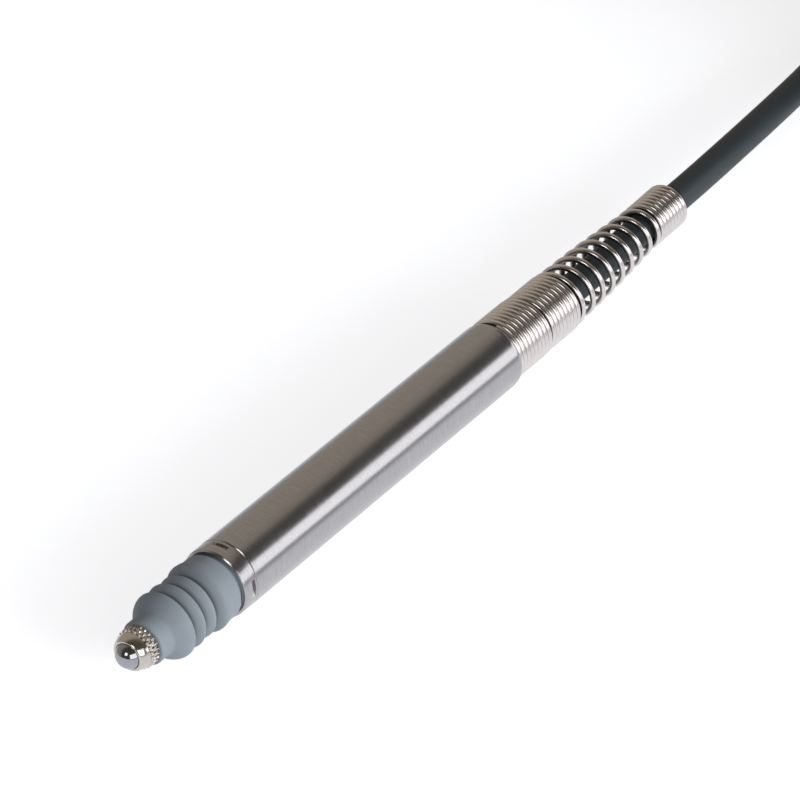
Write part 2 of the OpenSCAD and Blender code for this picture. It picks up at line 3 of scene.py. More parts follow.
import bmesh
import bpy
import numpy as np
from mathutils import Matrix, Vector


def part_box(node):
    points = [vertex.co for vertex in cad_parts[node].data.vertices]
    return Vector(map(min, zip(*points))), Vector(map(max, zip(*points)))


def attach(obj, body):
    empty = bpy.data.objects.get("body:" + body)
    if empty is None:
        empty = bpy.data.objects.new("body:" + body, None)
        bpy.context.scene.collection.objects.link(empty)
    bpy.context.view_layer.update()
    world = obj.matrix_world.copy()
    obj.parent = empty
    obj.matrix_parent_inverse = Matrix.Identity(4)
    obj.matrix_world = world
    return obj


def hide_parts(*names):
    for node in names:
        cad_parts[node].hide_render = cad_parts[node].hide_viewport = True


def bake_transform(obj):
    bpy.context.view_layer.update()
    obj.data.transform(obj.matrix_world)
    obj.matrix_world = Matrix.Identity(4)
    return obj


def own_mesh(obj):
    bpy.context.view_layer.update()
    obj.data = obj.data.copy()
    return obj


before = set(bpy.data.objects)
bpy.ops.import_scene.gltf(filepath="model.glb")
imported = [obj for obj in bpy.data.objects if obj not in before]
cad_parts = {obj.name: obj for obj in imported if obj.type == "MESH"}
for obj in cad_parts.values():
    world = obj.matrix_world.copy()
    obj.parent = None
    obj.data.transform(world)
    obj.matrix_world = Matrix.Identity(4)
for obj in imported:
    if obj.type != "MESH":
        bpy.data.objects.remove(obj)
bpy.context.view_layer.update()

bl_info = {
    "name": "Inductive Gauging Probe",
    "version": (1, 0, 0),
    "blender": (4, 5, 0),
    "location": "3D View > Sidebar > Probe",
    "description": "Dresses the gauging probe's CAD frame: tip, bellows, stem, springs, cable and plug",
    "category": "Object",
}

MM = 0.001

# From the boxes of the CAD nodes; the stem's axis runs along X, and JOINT is where the ring meets its tube
STEM_LOW, STEM_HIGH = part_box("body_tube")
JOINT = STEM_LOW.x
STEM_R = (STEM_HIGH.z - STEM_LOW.z) / 2
AXIS = (0.0, STEM_R)
BALL_LOW, BALL_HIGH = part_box("contact_ball")
BALL_R = (BALL_HIGH.z - BALL_LOW.z) / 2
BALL_X = (BALL_LOW.x + BALL_HIGH.x) / 2
TIP_LOW, TIP_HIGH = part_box("contact_tip")
RUBBER_LOW, RUBBER_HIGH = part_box("bellows")
RING_LOW, RING_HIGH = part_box("front_ring")
RING_R = (RING_HIGH.z - RING_LOW.z) / 2
BOOT_LOW, BOOT_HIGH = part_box("plug_boot")
GRIP_LOW, GRIP_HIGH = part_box("plug_grip")
SHROUD_LOW, SHROUD_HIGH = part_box("plug_shroud")
PLUG_AXIS = ((GRIP_LOW.y + GRIP_HIGH.y) / 2, (GRIP_LOW.z + GRIP_HIGH.z) / 2)

# As in the construction: the stem's bore, and the points of the cable's route in millimetres
BORE_R = 3.4 * MM
CABLE_ROUTE = (
    (11.9, 0, 4), (16, 0, 4), (20.5, 0, 4), (28, 0.1, 4), (35, 0.28, 4), (42, 0.5, 4),
    (50, 0.74, 4), (57, 0.94, 3.95), (64, 1.27, 3.85), (71, 1.72, 3.65), (78, 2.3, 3.35),
    (85, 3.05, 2.95), (91, 3.95, 2.55), (96, 4.7, 2.32), (101, 5.13, 2.25),
)
TAIL_ROUTE = (
    (116, 1.7, 19.8), (125, 1.7, 19.8), (134, 1.65, 19.8), (142, 1.4, 19.8), (149, 0.9, 19.8),
    (154, 0.45, 19.8), (158, 0.15, 19.8), (161, 0.02, 19.8), (164, 0, 19.75), (167, 0, 19.45),
    (171, 0, 18.2), (175, 0, 15.6), (179, 0, 11.7), (183, 0, 9.1), (187, 0, 7.85), (191, 0, 7.5),
    (195, 0, 7.5),
)
HANK_LAYERS = 5

# What each stage of a wound wire has
STAGE_PARTS = ("Turns", "Pitch", "Radius")

# Where the camera stands against the stem's joint, and the way it looks, fitted to the photograph
EYE = Vector((JOINT - 284.6 * MM, -224.0 * MM, AXIS[1] + 278.9 * MM))
LOOK = Vector((0.66406, 0.47247, -0.57949))
CORNERS = ((-1, -1), (1, -1), (1, 1), (-1, 1))


def srgb(code):
    """Linear colour of an sRGB hex code such as #8d98a5."""
    parts = [int(code[i:i + 2], 16) / 255 for i in (1, 3, 5)]
    return tuple(c / 12.92 if c <= 0.04045 else ((c + 0.055) / 1.055) ** 2.4 for c in parts) + (1.0,)


def eased(share):
    """A share from 0 to 1 that starts and ends gently."""
    share = min(max(share, 0.0), 1.0)
    return share * share * (3 - 2 * share)


def link(piece):
    """Puts an object on the scene."""
    bpy.context.scene.collection.objects.link(piece)
    return piece


# Sizes


def length(name, description, default):
    """A length property, its default in millimetres."""
    return bpy.props.FloatProperty(
        name=name, description=description, default=default * MM, unit="LENGTH", precision=5)


def angle(name, description, default):
    """An angle property, its default in degrees."""
    return bpy.props.FloatProperty(
        name=name, description=description, default=math.radians(default), subtype="ANGLE")


def count(name, description, default, low, high):
    """A whole number property."""
    return bpy.props.IntProperty(name=name, description=description, default=default, min=low, max=high)


def amount(name, description, default, low, high):
    """A plain number property."""
    return bpy.props.FloatProperty(name=name, description=description, default=default, min=low, max=high)


def finish_colour(name, description, default):
    """A colour property, its default as an sRGB hex code."""
    return bpy.props.FloatVectorProperty(
        name=name, description=description, size=4, subtype="COLOR", min=0, max=1, default=srgb(default))


class ProbeTip(bpy.types.PropertyGroup):
    """Sizes of the contact tip"""
    knurl_rows: count("Knurl Grooves", "Grooves of one slant round the holder", 24, 8, 60)
    knurl_slant: angle("Knurl Slant", "Angle between a groove and the axis", 30)
    knurl_depth: length("Knurl Depth", "Depth of a knurl groove", 0.17)
    grip_length: length("Grip Length", "Length of the knurled grip", 1.24)
    nose_length: length("Nose Length", "Length of the tapered nose", 1.2)


class ProbeBellows(bpy.types.PropertyGroup):
    """Sizes of the rubber bellows"""
    wall: length("Wall", "Thickness of the rubber in the folds", 0.45)
    fullness: amount("Fullness", "Shape of the crests: full below 1, an even wave at 1", 0.52, 0.3, 2.0)
    fold_depth: length("Fold Depth", "Depth of a valley between two folds", 1.15)


class ProbeStem(bpy.types.PropertyGroup):
    """Sizes of the stem and its ring"""
    notches: count("Notches", "Spanner notches round the ring", 4, 0, 12)
    notch_width: length("Notch Width", "Width of a spanner notch along the stem", 0.5)
    notch_turn: angle("Notch Turn", "Turn of the notches about the stem", -4.5)
    round_length: length("Rear Round Length", "Length of the rounded rear edge", 0.7)
    round_depth: length("Rear Round Depth", "Depth of the rounded rear edge", 0.25)
    edge: length("Broken Edge", "Size of the broken edges", 0.06)


class ProbeSpring(bpy.types.PropertyGroup):
    """Sizes of the strain relief spring"""
    wire: length("Wire", "Diameter of the spring wire", 0.68)
    front: length("Front Diameter", "Outside diameter of the first closed turns", 7.6)
    second: length("Second Diameter", "Outside diameter of the second closed turns", 7.4)
    middle: length("Middle Diameter", "Outside diameter in the open turns", 6.66)
    rear: length("Rear Diameter", "Outside diameter of the closed end", 5.45)
    close_pitch: length("Closed Pitch", "Pitch of the closed turns", 0.69)
    open_pitch: length("Open Pitch", "Pitch of the open turns", 2.165)
    lean: length("Lean", "Sideways lean of the rear end", 0.65)
    offset: length("Offset", "Sideways offset of the whole spring", 0.18)


class ProbeCable(bpy.types.PropertyGroup):
    """Sizes of the cable and its hank"""
    diameter: length("Diameter", "Diameter of the cable", 3.5)
    hank_start: length("Hank Start", "Where the hank's straight runs start", 104)
    hank_side: length("Hank Side", "The hank's middle, across the stem", -8.8)
    hank_radius: length("Hank Radius", "Bend radius of the inner turns", 10.5)
    hank_run: length("Hank Run", "Length of the hank's straight runs", 48)
    strap: length("Strap Thickness", "Thickness of the tie straps", 0.5)


class ProbePlug(bpy.types.PropertyGroup):
    """Sizes of the plug"""
    ribs: count("Boot Ribs", "Ribs on the bend relief", 5, 0, 12)
    flutes: count("Grip Flutes", "Flutes round the grip", 12, 0, 40)
    flute_depth: length("Flute Depth", "Depth of a flute", 0.4)


class ProbeColours(bpy.types.PropertyGroup):
    """Colours of the finishes that show most"""
    rubber: finish_colour("Rubber", "Colour of the bellows", "#868e94")
    steel: finish_colour("Stem Steel", "Reflected colour of the ground stem", "#c3c2c5")
    nickel: finish_colour("Nickel", "Reflected colour of the nickel plate", "#dbd4cf")
    wire: finish_colour("Spring Wire", "Reflected colour of the spring wire", "#efe9e8")
    ball: finish_colour("Ball", "Reflected colour of the contact ball", "#b1b3b9")
    cable: finish_colour("Cable", "Colour of the cable jacket", "#2c3336")


class ProbeStage(bpy.types.PropertyGroup):
    """Light and camera"""
    room: amount("Room Light", "Brightness of the room all round, as metal mirrors it", 0.37, 0, 2)
    camera_side: amount("Camera Side", "Brightness of the room behind the camera", 0.08, 0, 2)
    ambient: amount("Even Light", "Even light on dull surfaces", 0.2, 0, 2)
    side: amount("Side Light", "Brightness of the long side box of light", 1.25, 0, 5)
    floor_white: amount("Floor White", "What the camera sees of the floor beside its lit paper", 0.68, 0, 1)
    floor_glow: amount("Floor Glow", "What metal mirrors of the floor beside its lit paper", 0.42, 0, 1)
    lens: amount("Lens", "Focal length of the camera, in millimetres", 202.5, 20, 400)


# Meshes


def solid_mesh(name, points, faces, uvs=None, sharp=32):
    """A closed mesh with outward faces, smooth but for the edges sharper than the given angle."""
    mesh = bpy.data.meshes.new(name)
    mesh.from_pydata([tuple(p) for p in points], [], faces)
    if uvs is not None:
        layer = mesh.uv_layers.new(name="UVMap")
        layer.data.foreach_set("uv", np.asarray([c for face in uvs for c in face], np.float32).ravel())
    return outward(mesh, sharp)


def outward(mesh, sharp=32):
    """Turns all faces of a closed mesh outwards and sets its smooth and sharp edges."""
    work = bmesh.new()
    work.from_mesh(mesh)
    bmesh.ops.recalc_face_normals(work, faces=work.faces)
    if work.calc_volume(signed=True) < 0:
        bmesh.ops.reverse_faces(work, faces=work.faces)
    work.to_mesh(mesh)
    work.free()
    mesh.shade_smooth()
    mesh.set_sharp_from_angle(angle=math.radians(sharp))
    return mesh


def lathe(name, profile, segments, loop=False, axis=AXIS, sharp=32):
    """Turns a profile of x and radius about an axis along X. With loop its last point joins its first; a
    point on the axis is one vertex."""
    profile = [(p[0], max(p[1], 0.0)) for p in profile]
    points, rings = [], []
    for x, r in profile:
        if r < 1e-7:
            rings.append([len(points)] * (segments + 1))
            points.append((x, axis[0], axis[1]))
            continue
        first = len(points)
        for k in range(segments):
            a = 2 * math.pi * k / segments
            points.append((x, axis[0] + r * math.cos(a), axis[1] + r * math.sin(a)))
        rings.append([first + k for k in range(segments)] + [first])
    along = [0.0]
    for p, q in zip(profile, profile[1:] + profile[:1]):
        along.append(along[-1] + math.hypot(q[0] - p[0], q[1] - p[1]))
    around = 2 * math.pi * max(r for x, r in profile) / segments
    faces, uvs = [], []
    for i in range(len(profile) if loop else len(profile) - 1):
        j = (i + 1) % len(profile)
        for k in range(segments):
            corners = [(rings[i][k], i, k), (rings[j][k], i + 1, k),
                       (rings[j][k + 1], i + 1, k + 1), (rings[i][k + 1], i, k + 1)]
            kept = []
            for corner in corners:
                if not kept or all(corner[0] != other[0] for other in kept):
                    kept.append(corner)
            if len(kept) > 2:
                faces.append([c[0] for c in kept])
                uvs.append([(along[c[1]], c[2] * around) for c in kept])
    return solid_mesh(name, points, faces, uvs, sharp)


def rounded(points, steps=4):
    """A profile whose corners are rounded where a point gives a radius: x, r and corner radius."""
    made = []
    for i, p in enumerate(points):
        if len(p) < 3 or i in (0, len(points) - 1):
            made.append((p[0], p[1]))
            continue
        here = Vector(p[:2])
        back, on = Vector(points[i - 1][:2]) - here, Vector(points[i + 1][:2]) - here
        reach = min(p[2], 0.48 * back.length, 0.48 * on.length)
        start, end = here + back.normalized() * reach, here + on.normalized() * reach
        for k in range(steps + 1):
            t = k / steps
            made.append(tuple(start * (1 - t) ** 2 + here * 2 * t * (1 - t) + end * t * t))
    return made


def lengths_along(points):
    """How far along a line of points each one lies."""
    return np.concatenate([[0], np.cumsum(np.linalg.norm(np.diff(points, axis=0), axis=1))])


def smooth_path(points, step):
    """A smooth curve through points, cut into equal steps."""
    p = np.asarray(points, float)
    t = lengths_along(p)
    slope = np.gradient(p, t, axis=0, edge_order=1)
    dense = []
    for i, gap in enumerate(np.diff(t)):
        u = np.linspace(0, 1, max(2, int(gap / step * 4)), endpoint=False)[:, None]
        dense.append((2 * u**3 - 3 * u**2 + 1) * p[i] + (u**3 - 2 * u**2 + u) * gap * slope[i]
                     + (3 * u**2 - 2 * u**3) * p[i + 1] + (u**3 - u**2) * gap * slope[i + 1])
    dense = np.concatenate(dense + [p[-1:]])
    reach = lengths_along(dense)
    wanted = np.linspace(0, reach[-1], max(2, round(reach[-1] / step)) + 1)
    return np.stack([np.interp(wanted, reach, dense[:, k]) for k in range(3)], axis=1)


def sleeve(sides, along, girth):
    """Faces and UV of a closed skin: rings of so many points in a row, with a lid at both ends."""
    faces, uvs = [], []
    for i in range(len(along) - 1):
        for k in range(sides):
            a, b = i * sides + k, i * sides + (k + 1) % sides
            faces.append([a, b, b + sides, a + sides])
            uvs.append([(along[i], girth[k]), (along[i], girth[k + 1]),
                        (along[i + 1], girth[k + 1]), (along[i + 1], girth[k])])
    for i in (0, len(along) - 1):
        faces.append([i * sides + k for k in range(sides)])
        uvs.append([(along[i], girth[k]) for k in range(sides)])
    return faces, uvs


def tube(name, path, radius, sides):
    """A closed round tube along a path, with its length and girth as its UV map, in metres."""
    ahead = np.gradient(path, axis=0)
    ahead /= np.linalg.norm(ahead, axis=1)[:, None]
    up = np.array([0.0, 0.0, 1.0])
    points = []
    for p, d in zip(path, ahead):
        up = up - d * up.dot(d)
        up /= np.linalg.norm(up)
        side = np.cross(d, up)
        for k in range(sides):
            a = 2 * math.pi * k / sides
            points.append(p + radius * (math.cos(a) * side + math.sin(a) * up))
    girth = [2 * math.pi * radius * k / sides for k in range(sides + 1)]
    return solid_mesh(name, points, *sleeve(sides, lengths_along(path), girth), sharp=50)


def strap_mesh(name, corners, x_from, x_to, thick):
    """A strap pulled round a bundle: rounded at its corners, and lapped between the first two of them."""
    slack, bend, lap, edge = 0.05 * MM, 1.2 * MM, 2.3 * MM, 0.12 * MM
    on_top = thick + 0.01 * MM
    middle = np.mean(corners, axis=0)
    corners = [np.mean(corners[:2], axis=0), *corners[1:], corners[0]]
    ring = []
    for i, corner in enumerate(corners):
        here = Vector(corner)
        back = (Vector(corners[i - 1]) - here).normalized() * bend
        on = (Vector(corners[(i + 1) % len(corners)]) - here).normalized() * bend
        for t in np.linspace(0, 1, 7):
            ring.append((here + back) * (1 - t) ** 2 + here * 2 * t * (1 - t) + (here + on) * t * t)
    closed = np.array([tuple(p) for p in ring + ring[:1]])
    reach = lengths_along(closed)
    at = np.linspace(0, reach[-1] + lap, 120)
    line = np.stack([np.interp(at % reach[-1], reach, closed[:, k]) for k in range(2)], axis=1)
    ahead = np.gradient(line, axis=0)
    ahead /= np.linalg.norm(ahead, axis=1)[:, None]
    out = np.stack([ahead[:, 1], -ahead[:, 0]], axis=1)
    if (out * (line - middle)).sum() < 0:
        out = -out
    section = [(x_from, 0.0), (x_from, thick - edge), (x_from + edge, thick), (x_to - edge, thick),
               (x_to, thick - edge), (x_to, 0.0)]
    points = []
    for u, p, o in zip(at, line, out):
        lift = slack + on_top * eased((u - reach[-1] + lap / 2) / (lap / 2))
        points += [(x, *(p + o * (lift + h))) for x, h in section]
    girth = lengths_along(section + section[:1])
    return solid_mesh(name, points, *sleeve(len(section), at, girth), sharp=40)


def wire_skin(mesh, sides):
    """Gives a wound wire its UV: metres along it, and the way outwards from its middle line, from -1 to 1."""
    spots = np.empty(len(mesh.vertices) * 3, np.float32)
    mesh.vertices.foreach_get("co", spots)
    rings = spots.reshape(-1, sides, 3)
    middle = rings.mean(axis=1)
    out = middle - np.array((0, *AXIS), np.float32)
    out[:, 0] = 0
    out /= np.linalg.norm(out, axis=1)[:, None]
    radius = np.linalg.norm(rings[0, 0] - middle[0])
    height = np.einsum("ijk,ik->ij", rings - middle[:, None], out).ravel() / radius
    corners = np.empty(len(mesh.loops), np.int32)
    mesh.loops.foreach_get("vertex_index", corners)
    uvs = np.stack([lengths_along(middle)[corners // sides], height[corners]], axis=1)
    mesh.uv_layers.new(name="UVMap").data.foreach_set("uv", uvs.astype(np.float32).ravel())
    return mesh


def grown(name, tree, inputs, mesh=None):
    """The plain mesh that a Geometry Nodes tree makes, from a mesh or from nothing."""
    base = link(bpy.data.objects.new(name, mesh or bpy.data.meshes.new(name)))
    modifier = base.modifiers.new(tree.name, "NODES")
    modifier.node_group = tree
    for item in tree.interface.items_tree:
        if item.item_type == "SOCKET" and item.in_out == "INPUT" and item.name in inputs:
            modifier[item.identifier] = inputs[item.name]
    made = plain(base)
    base.modifiers.remove(modifier)
    bpy.data.objects.remove(base)
    if not len(made.polygons):
        raise RuntimeError(f"{tree.name} made nothing")
    made.name = name
    return made


def plain(piece):
    """The mesh of an object with its modifiers worked in."""
    graph = bpy.context.evaluated_depsgraph_get()
    return bpy.data.meshes.new_from_object(piece.evaluated_get(graph), depsgraph=graph)


def place(name, mesh, material, slot, body, *stands_for):
    """Links a finished mesh as a piece with its material and body, and hides the CAD nodes it stands for. The
    slot is not used.
    """
    mesh.materials.clear()
    mesh.materials.append(material)
    piece = link(bpy.data.objects.new(name, mesh))
    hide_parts(*stands_for)
    if body:
        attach(piece, body)
    return piece


def repaint(material, *nodes):
    """Gives CAD nodes their material; their meshes stay as they are."""
    for node in nodes:
        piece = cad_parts[node]
        if not piece.material_slots:
            piece.data.materials.append(material)
        for slot in piece.material_slots:
            slot.material = material


# Nodes


def add(tree, kind, links=None, **settings):
    """Adds a node; settings are its own properties, links give its inputs a number, a socket or a node."""
    node = tree.nodes.new(kind)
    for key, value in settings.items():
        setattr(node, key, value)
    for key, value in (links or {}).items():
        if isinstance(value, bpy.types.Node):
            tree.links.new(value.outputs[0], node.inputs[key])
        elif isinstance(value, bpy.types.NodeSocket):
            tree.links.new(value, node.inputs[key])
        else:
            node.inputs[key].default_value = value
    return node


def calc(tree, operation, *values):
    """One step of arithmetic."""
    return add(tree, "ShaderNodeMath", dict(enumerate(values)), operation=operation)


def scaled(tree, vector, factor):
    """A colour or a vector times a number."""
    return add(tree, "ShaderNodeVectorMath", {0: vector, "Scale": factor}, operation="SCALE")


def ranged(tree, value, from_min, from_max, to_min, to_max, smooth=False):
    """Maps a number from one range to another, and holds it at the ends."""
    ends = {"From Min": from_min, "From Max": from_max, "To Min": to_min, "To Max": to_max}
    return add(tree, "ShaderNodeMapRange", {"Value": value, **ends},
               interpolation_type="SMOOTHSTEP" if smooth else "LINEAR")


def mixed(tree, factor, low, high):
    """A colour between two others."""
    return add(tree, "ShaderNodeMix", {0: factor, 6: low, 7: high}, data_type="RGBA").outputs[2]


def noise(tree, where, scale, detail=2.0, rough=0.5):
    """A cloudy pattern."""
    return add(tree, "ShaderNodeTexNoise",
               {"Vector": where, "Scale": scale, "Detail": detail, "Roughness": rough})


def coords(tree, kind="Object"):
    """Texture coordinates; the pieces' own space and their UV maps are in metres."""
    return add(tree, "ShaderNodeTexCoord").outputs[kind]


def grain_of(tree, where, along, across):
    """Coordinates that make a pattern's grain so many millimetres long on the piece, and so many wide."""
    return add(tree, "ShaderNodeMapping",
               {"Vector": where, "Scale": (1000 / along, 1000 / across, 1000 / across)})


def blank_material(name):
    """A new material with an empty tree."""
    material = bpy.data.materials.get(name) or bpy.data.materials.new(name)
    material.use_nodes = True
    material.node_tree.nodes.clear()
    return material, material.node_tree


def surface(tree, colour, rough, height, depth, strength=1.0, **more):
    """Ends a material with its shader and a bump, whose depth is in millimetres."""
    bump = add(tree, "ShaderNodeBump", {"Height": height, "Distance": depth * MM, "Strength": strength})
    inputs = {key.replace("_", " ").title(): value for key, value in more.items()}
    shader = add(tree, "ShaderNodeBsdfPrincipled",
                 {"Base Color": colour, "Roughness": rough, "Normal": bump, **inputs})
    add(tree, "ShaderNodeOutputMaterial", {"Surface": shader})


# Materials


def ground_steel(name, colour, grain, rough, depth=0.0012, uv=True):
    """Ground or turned metal: fine lines run round the piece, so that it mirrors softly along the axis and
    keeps sharper edges round it."""
    material, tree = blank_material(name)
    where = coords(tree, "UV" if uv else "Object")
    # One line every grain millimetre along the piece, each running on for some millimetres
    scratches = noise(tree, grain_of(tree, where, grain, 2.6), 1.0, 3.0, 0.65)
    broad = noise(tree, where, 260.0)
    # The wheel's grit leaves short bright flecks between the lines, less than a fifth of a millimetre long
    grit = noise(tree, grain_of(tree, where, 0.11, 0.16), 1.0, 1.0)
    shade = scaled(tree, colour[:3], ranged(tree, scratches, 0.3, 0.7, 0.9, 1.06))
    shade = scaled(tree, shade, ranged(tree, grit, 0.3, 0.7, 0.88, 1.08))
    spread = calc(tree, "MULTIPLY_ADD", broad, 0.08, rough - 0.04)
    finer = calc(tree, "MULTIPLY_ADD", scratches, 0.1, spread)
    lay = {}
    if uv:
        tangent = add(tree, "ShaderNodeTangent", direction_type="UV_MAP", uv_map="UVMap")
        lay = {"anisotropic": 0.7, "tangent": tangent}
    surface(tree, shade, finer, scratches, depth, metallic=1.0, **lay)
    return material


def plated_metal(name, colour, rough, worn, scale, depth):
    """Turned metal with a bright plated coat, or a polished ball: a clean mirror with faint marks in it."""
    material, tree = blank_material(name)
    marks = noise(tree, coords(tree), scale, 4.0, 0.6)
    spread = calc(tree, "MULTIPLY_ADD", marks, worn, rough - worn / 2)
    shade = scaled(tree, colour[:3], ranged(tree, marks, 0.3, 0.7, 0.94, 1.03))
    surface(tree, shade, spread, marks, depth, 0.6, metallic=1.0)
    return material


def moulded(name, colour, rough, grain, depth, mottle=0.06, sheen=0.0, drawn=0.0):
    """Rubber or plastic from a mould or an extruder: an even colour with a faint mottle, and the fine grain
    that a spark-eroded mould leaves, or the lines along a drawn piece, so many times as long as wide."""
    material, tree = blank_material(name)
    where = grain_of(tree, coords(tree, "UV" if drawn else "Object"), drawn or 1.0, 1.0)
    grains = noise(tree, where, 1 / grain, 3.0)
    cloud = noise(tree, where, 0.35, 3.0, 0.6)
    shade = scaled(tree, colour[:3], ranged(tree, cloud, 0.3, 0.7, 1 - mottle, 1 + mottle))
    spread = calc(tree, "MULTIPLY_ADD", cloud, 0.14, rough - 0.07)
    surface(tree, shade, spread, grains, depth, 0.8, sheen_weight=sheen, sheen_roughness=0.5)
    return material


def toned(material, tone):
    """Multiplies a material's colour by a number that its tree works out."""
    tree = material.node_tree
    shader = next(node for node in tree.nodes if node.type == "BSDF_PRINCIPLED")
    both = scaled(tree, shader.inputs["Base Color"].links[0].from_socket, tone)
    tree.links.new(both.outputs[0], shader.inputs["Base Color"])


def painted_fold_shade(material, stations):
    """Paints shade into a material near some stations of its own U: painted shade in the rubber's fold
    valleys, where real shade falls.
    """
    tree = material.node_tree
    along = add(tree, "ShaderNodeSeparateXYZ", {"Vector": coords(tree, "UV")}).outputs["X"]
    offs = [calc(tree, "ABSOLUTE", calc(tree, "SUBTRACT", along, station)) for station in stations]
    nearest = offs[0]
    for off in offs[1:]:
        nearest = calc(tree, "MINIMUM", nearest, off)
    toned(material, ranged(tree, nearest, 0.1 * MM, 0.85 * MM, 0.3, 1.0, smooth=True))


def painted_turn_shade(material):
    """Paints shade on a wound wire by its own V: its flanks and inner side get painted shade, where turns lie
    side by side, and only its outer crest keeps the full colour.
    """
    tree = material.node_tree
    height = add(tree, "ShaderNodeSeparateXYZ", {"Vector": coords(tree, "UV")}).outputs["Y"]
    toned(material, ranged(tree, height, 0.05, 0.65, 0.3, 1.0, smooth=True))


def bands(tree, where, pitch, way, **links):
    """Even bands across a direction, with a pitch in millimetres; a wave of scale 1 has a pitch of 0.314."""
    wave = add(tree, "ShaderNodeTexWave", {"Vector": where, "Scale": 0.314 / (pitch * MM), **links},
               wave_type="BANDS", bands_direction=way)
    return wave.outputs[1]


def wound_copper(name):
    """Enamelled copper wire wound in fine layers: the turns show as fine bands, drawn twice as coarse as
    the real 0.1 mm wire so that they show at all, under a clear varnish."""
    material, tree = blank_material(name)
    turns = bands(tree, coords(tree), 0.2, "X", Distortion=0.4)
    tone = mixed(tree, turns, srgb("#5e2410"), srgb("#b0602c"))
    surface(tree, tone, 0.35, turns, 0.03, metallic=0.7, coat_weight=0.6, coat_roughness=0.15)
    return material


def wire_colours(name):
    """PVC-insulated stranded wires: one colour a wire, told apart by the side of the axis it runs on."""
    material, tree = blank_material(name)
    where = coords(tree)
    side = add(tree, "ShaderNodeSeparateXYZ", {"Vector": where})
    left = calc(tree, "GREATER_THAN", side.outputs["Y"], AXIS[0])
    high = calc(tree, "GREATER_THAN", side.outputs["Z"], AXIS[1])
    upper = mixed(tree, left, srgb("#a3221b"), srgb("#c9a02a"))
    lower = mixed(tree, left, srgb("#d8d5cc"), srgb("#2f6b3c"))
    surface(tree, mixed(tree, high, lower, upper), 0.35, noise(tree, where, 4000.0), 0.002)
    return material


def woven_strap(name):
    """Woven nylon hook-and-loop strap: warp and weft 0.45 mm apart, each thread a small hump."""
    material, tree = blank_material(name)
    where = coords(tree, "UV")
    weave = calc(tree, "MULTIPLY", *(bands(tree, where, 0.45, way) for way in ("X", "Y")))
    tone = mixed(tree, weave, srgb("#0d0d0f"), srgb("#26262a"))
    surface(tree, tone, 0.75, weave, 0.08, sheen_weight=0.3, sheen_roughness=0.4)
    return material


# Geometry nodes


def nodes_tree(name, inputs):
    """A Geometry Nodes tree with a geometry input and output and the named inputs."""
    tree = bpy.data.node_groups.new(name, "GeometryNodeTree")
    tree.interface.new_socket("Geometry", in_out="INPUT", socket_type="NodeSocketGeometry")
    for label, value in inputs.items():
        kind = "NodeSocketInt" if isinstance(value, int) else "NodeSocketFloat"
        tree.interface.new_socket(label, in_out="INPUT", socket_type=kind).default_value = value
    tree.interface.new_socket("Geometry", in_out="OUTPUT", socket_type="NodeSocketGeometry")
    return tree, add(tree, "NodeGroupInput").outputs


def hand_out(tree, geometry, material):
    """Ends a Geometry Nodes tree: real geometry with its material."""
    real = add(tree, "GeometryNodeRealizeInstances", {"Geometry": geometry})
    painted = add(tree, "GeometryNodeSetMaterial", {"Geometry": real, "Material": material})
    add(tree, "NodeGroupOutput", {0: painted})
    return tree


def carving_tree(name, inputs, material):
    """Carves straight or crossing grooves with round flanks into a turned piece that lies along X. Floor is
    half the width of a groove's bottom, and Flank is where its flank ends, as a share of half the pitch."""
    tree, given = nodes_tree(name, inputs)
    spot = add(tree, "ShaderNodeSeparateXYZ", {"Vector": add(tree, "GeometryNodeInputPosition")})
    x, y, z = (calc(tree, "SUBTRACT", spot.outputs[way], given[middle])
               for way, middle in (("X", "Middle"), ("Y", "Axis Y"), ("Z", "Axis Z")))
    arc = calc(tree, "MULTIPLY", calc(tree, "ARCTAN2", z, y), given["Radius"])
    half_girth = calc(tree, "MULTIPLY", given["Radius"], math.pi)
    half_pitch = calc(tree, "DIVIDE", half_girth, given["Grooves"])
    shift = calc(tree, "MULTIPLY", x, calc(tree, "TANGENT", given["Slant"]))
    crown = calc(tree, "MULTIPLY", half_pitch, given["Flank"])
    # What is left of the skin grows from a groove's floor to the crown between two grooves
    left = []
    for way in ("ADD", "SUBTRACT"):
        away = calc(tree, "PINGPONG", calc(tree, way, arc, shift), half_pitch)
        left.append(ranged(tree, away, given["Floor"], crown, 0.0, 1.0, smooth=True))
    gone = calc(tree, "SUBTRACT", 1.0, calc(tree, "MULTIPLY", *left))
    off = calc(tree, "ABSOLUTE", x)
    fade = ranged(tree, off, given["Full Half Length"], given["Half Length"], 1.0, 0.0, smooth=True)
    depth = calc(tree, "MULTIPLY", calc(tree, "MULTIPLY", gone, given["Depth"]), fade)
    # Only the outer skin is carved: points well inside the radius stay
    flat = add(tree, "ShaderNodeCombineXYZ", {"Y": y, "Z": z})
    reach = add(tree, "ShaderNodeVectorMath", {0: flat}, operation="LENGTH").outputs["Value"]
    skin = calc(tree, "MULTIPLY", given["Radius"], 0.8)
    on_skin = add(tree, "FunctionNodeCompare", {0: reach, 1: skin}, operation="GREATER_THAN")
    outwards = add(tree, "ShaderNodeVectorMath", {0: flat}, operation="NORMALIZE")
    move = scaled(tree, outwards, calc(tree, "MULTIPLY", depth, -1.0))
    carved = add(tree, "GeometryNodeSetPosition",
                 {"Geometry": given["Geometry"], "Selection": on_skin, "Offset": move})
    return hand_out(tree, carved, material)


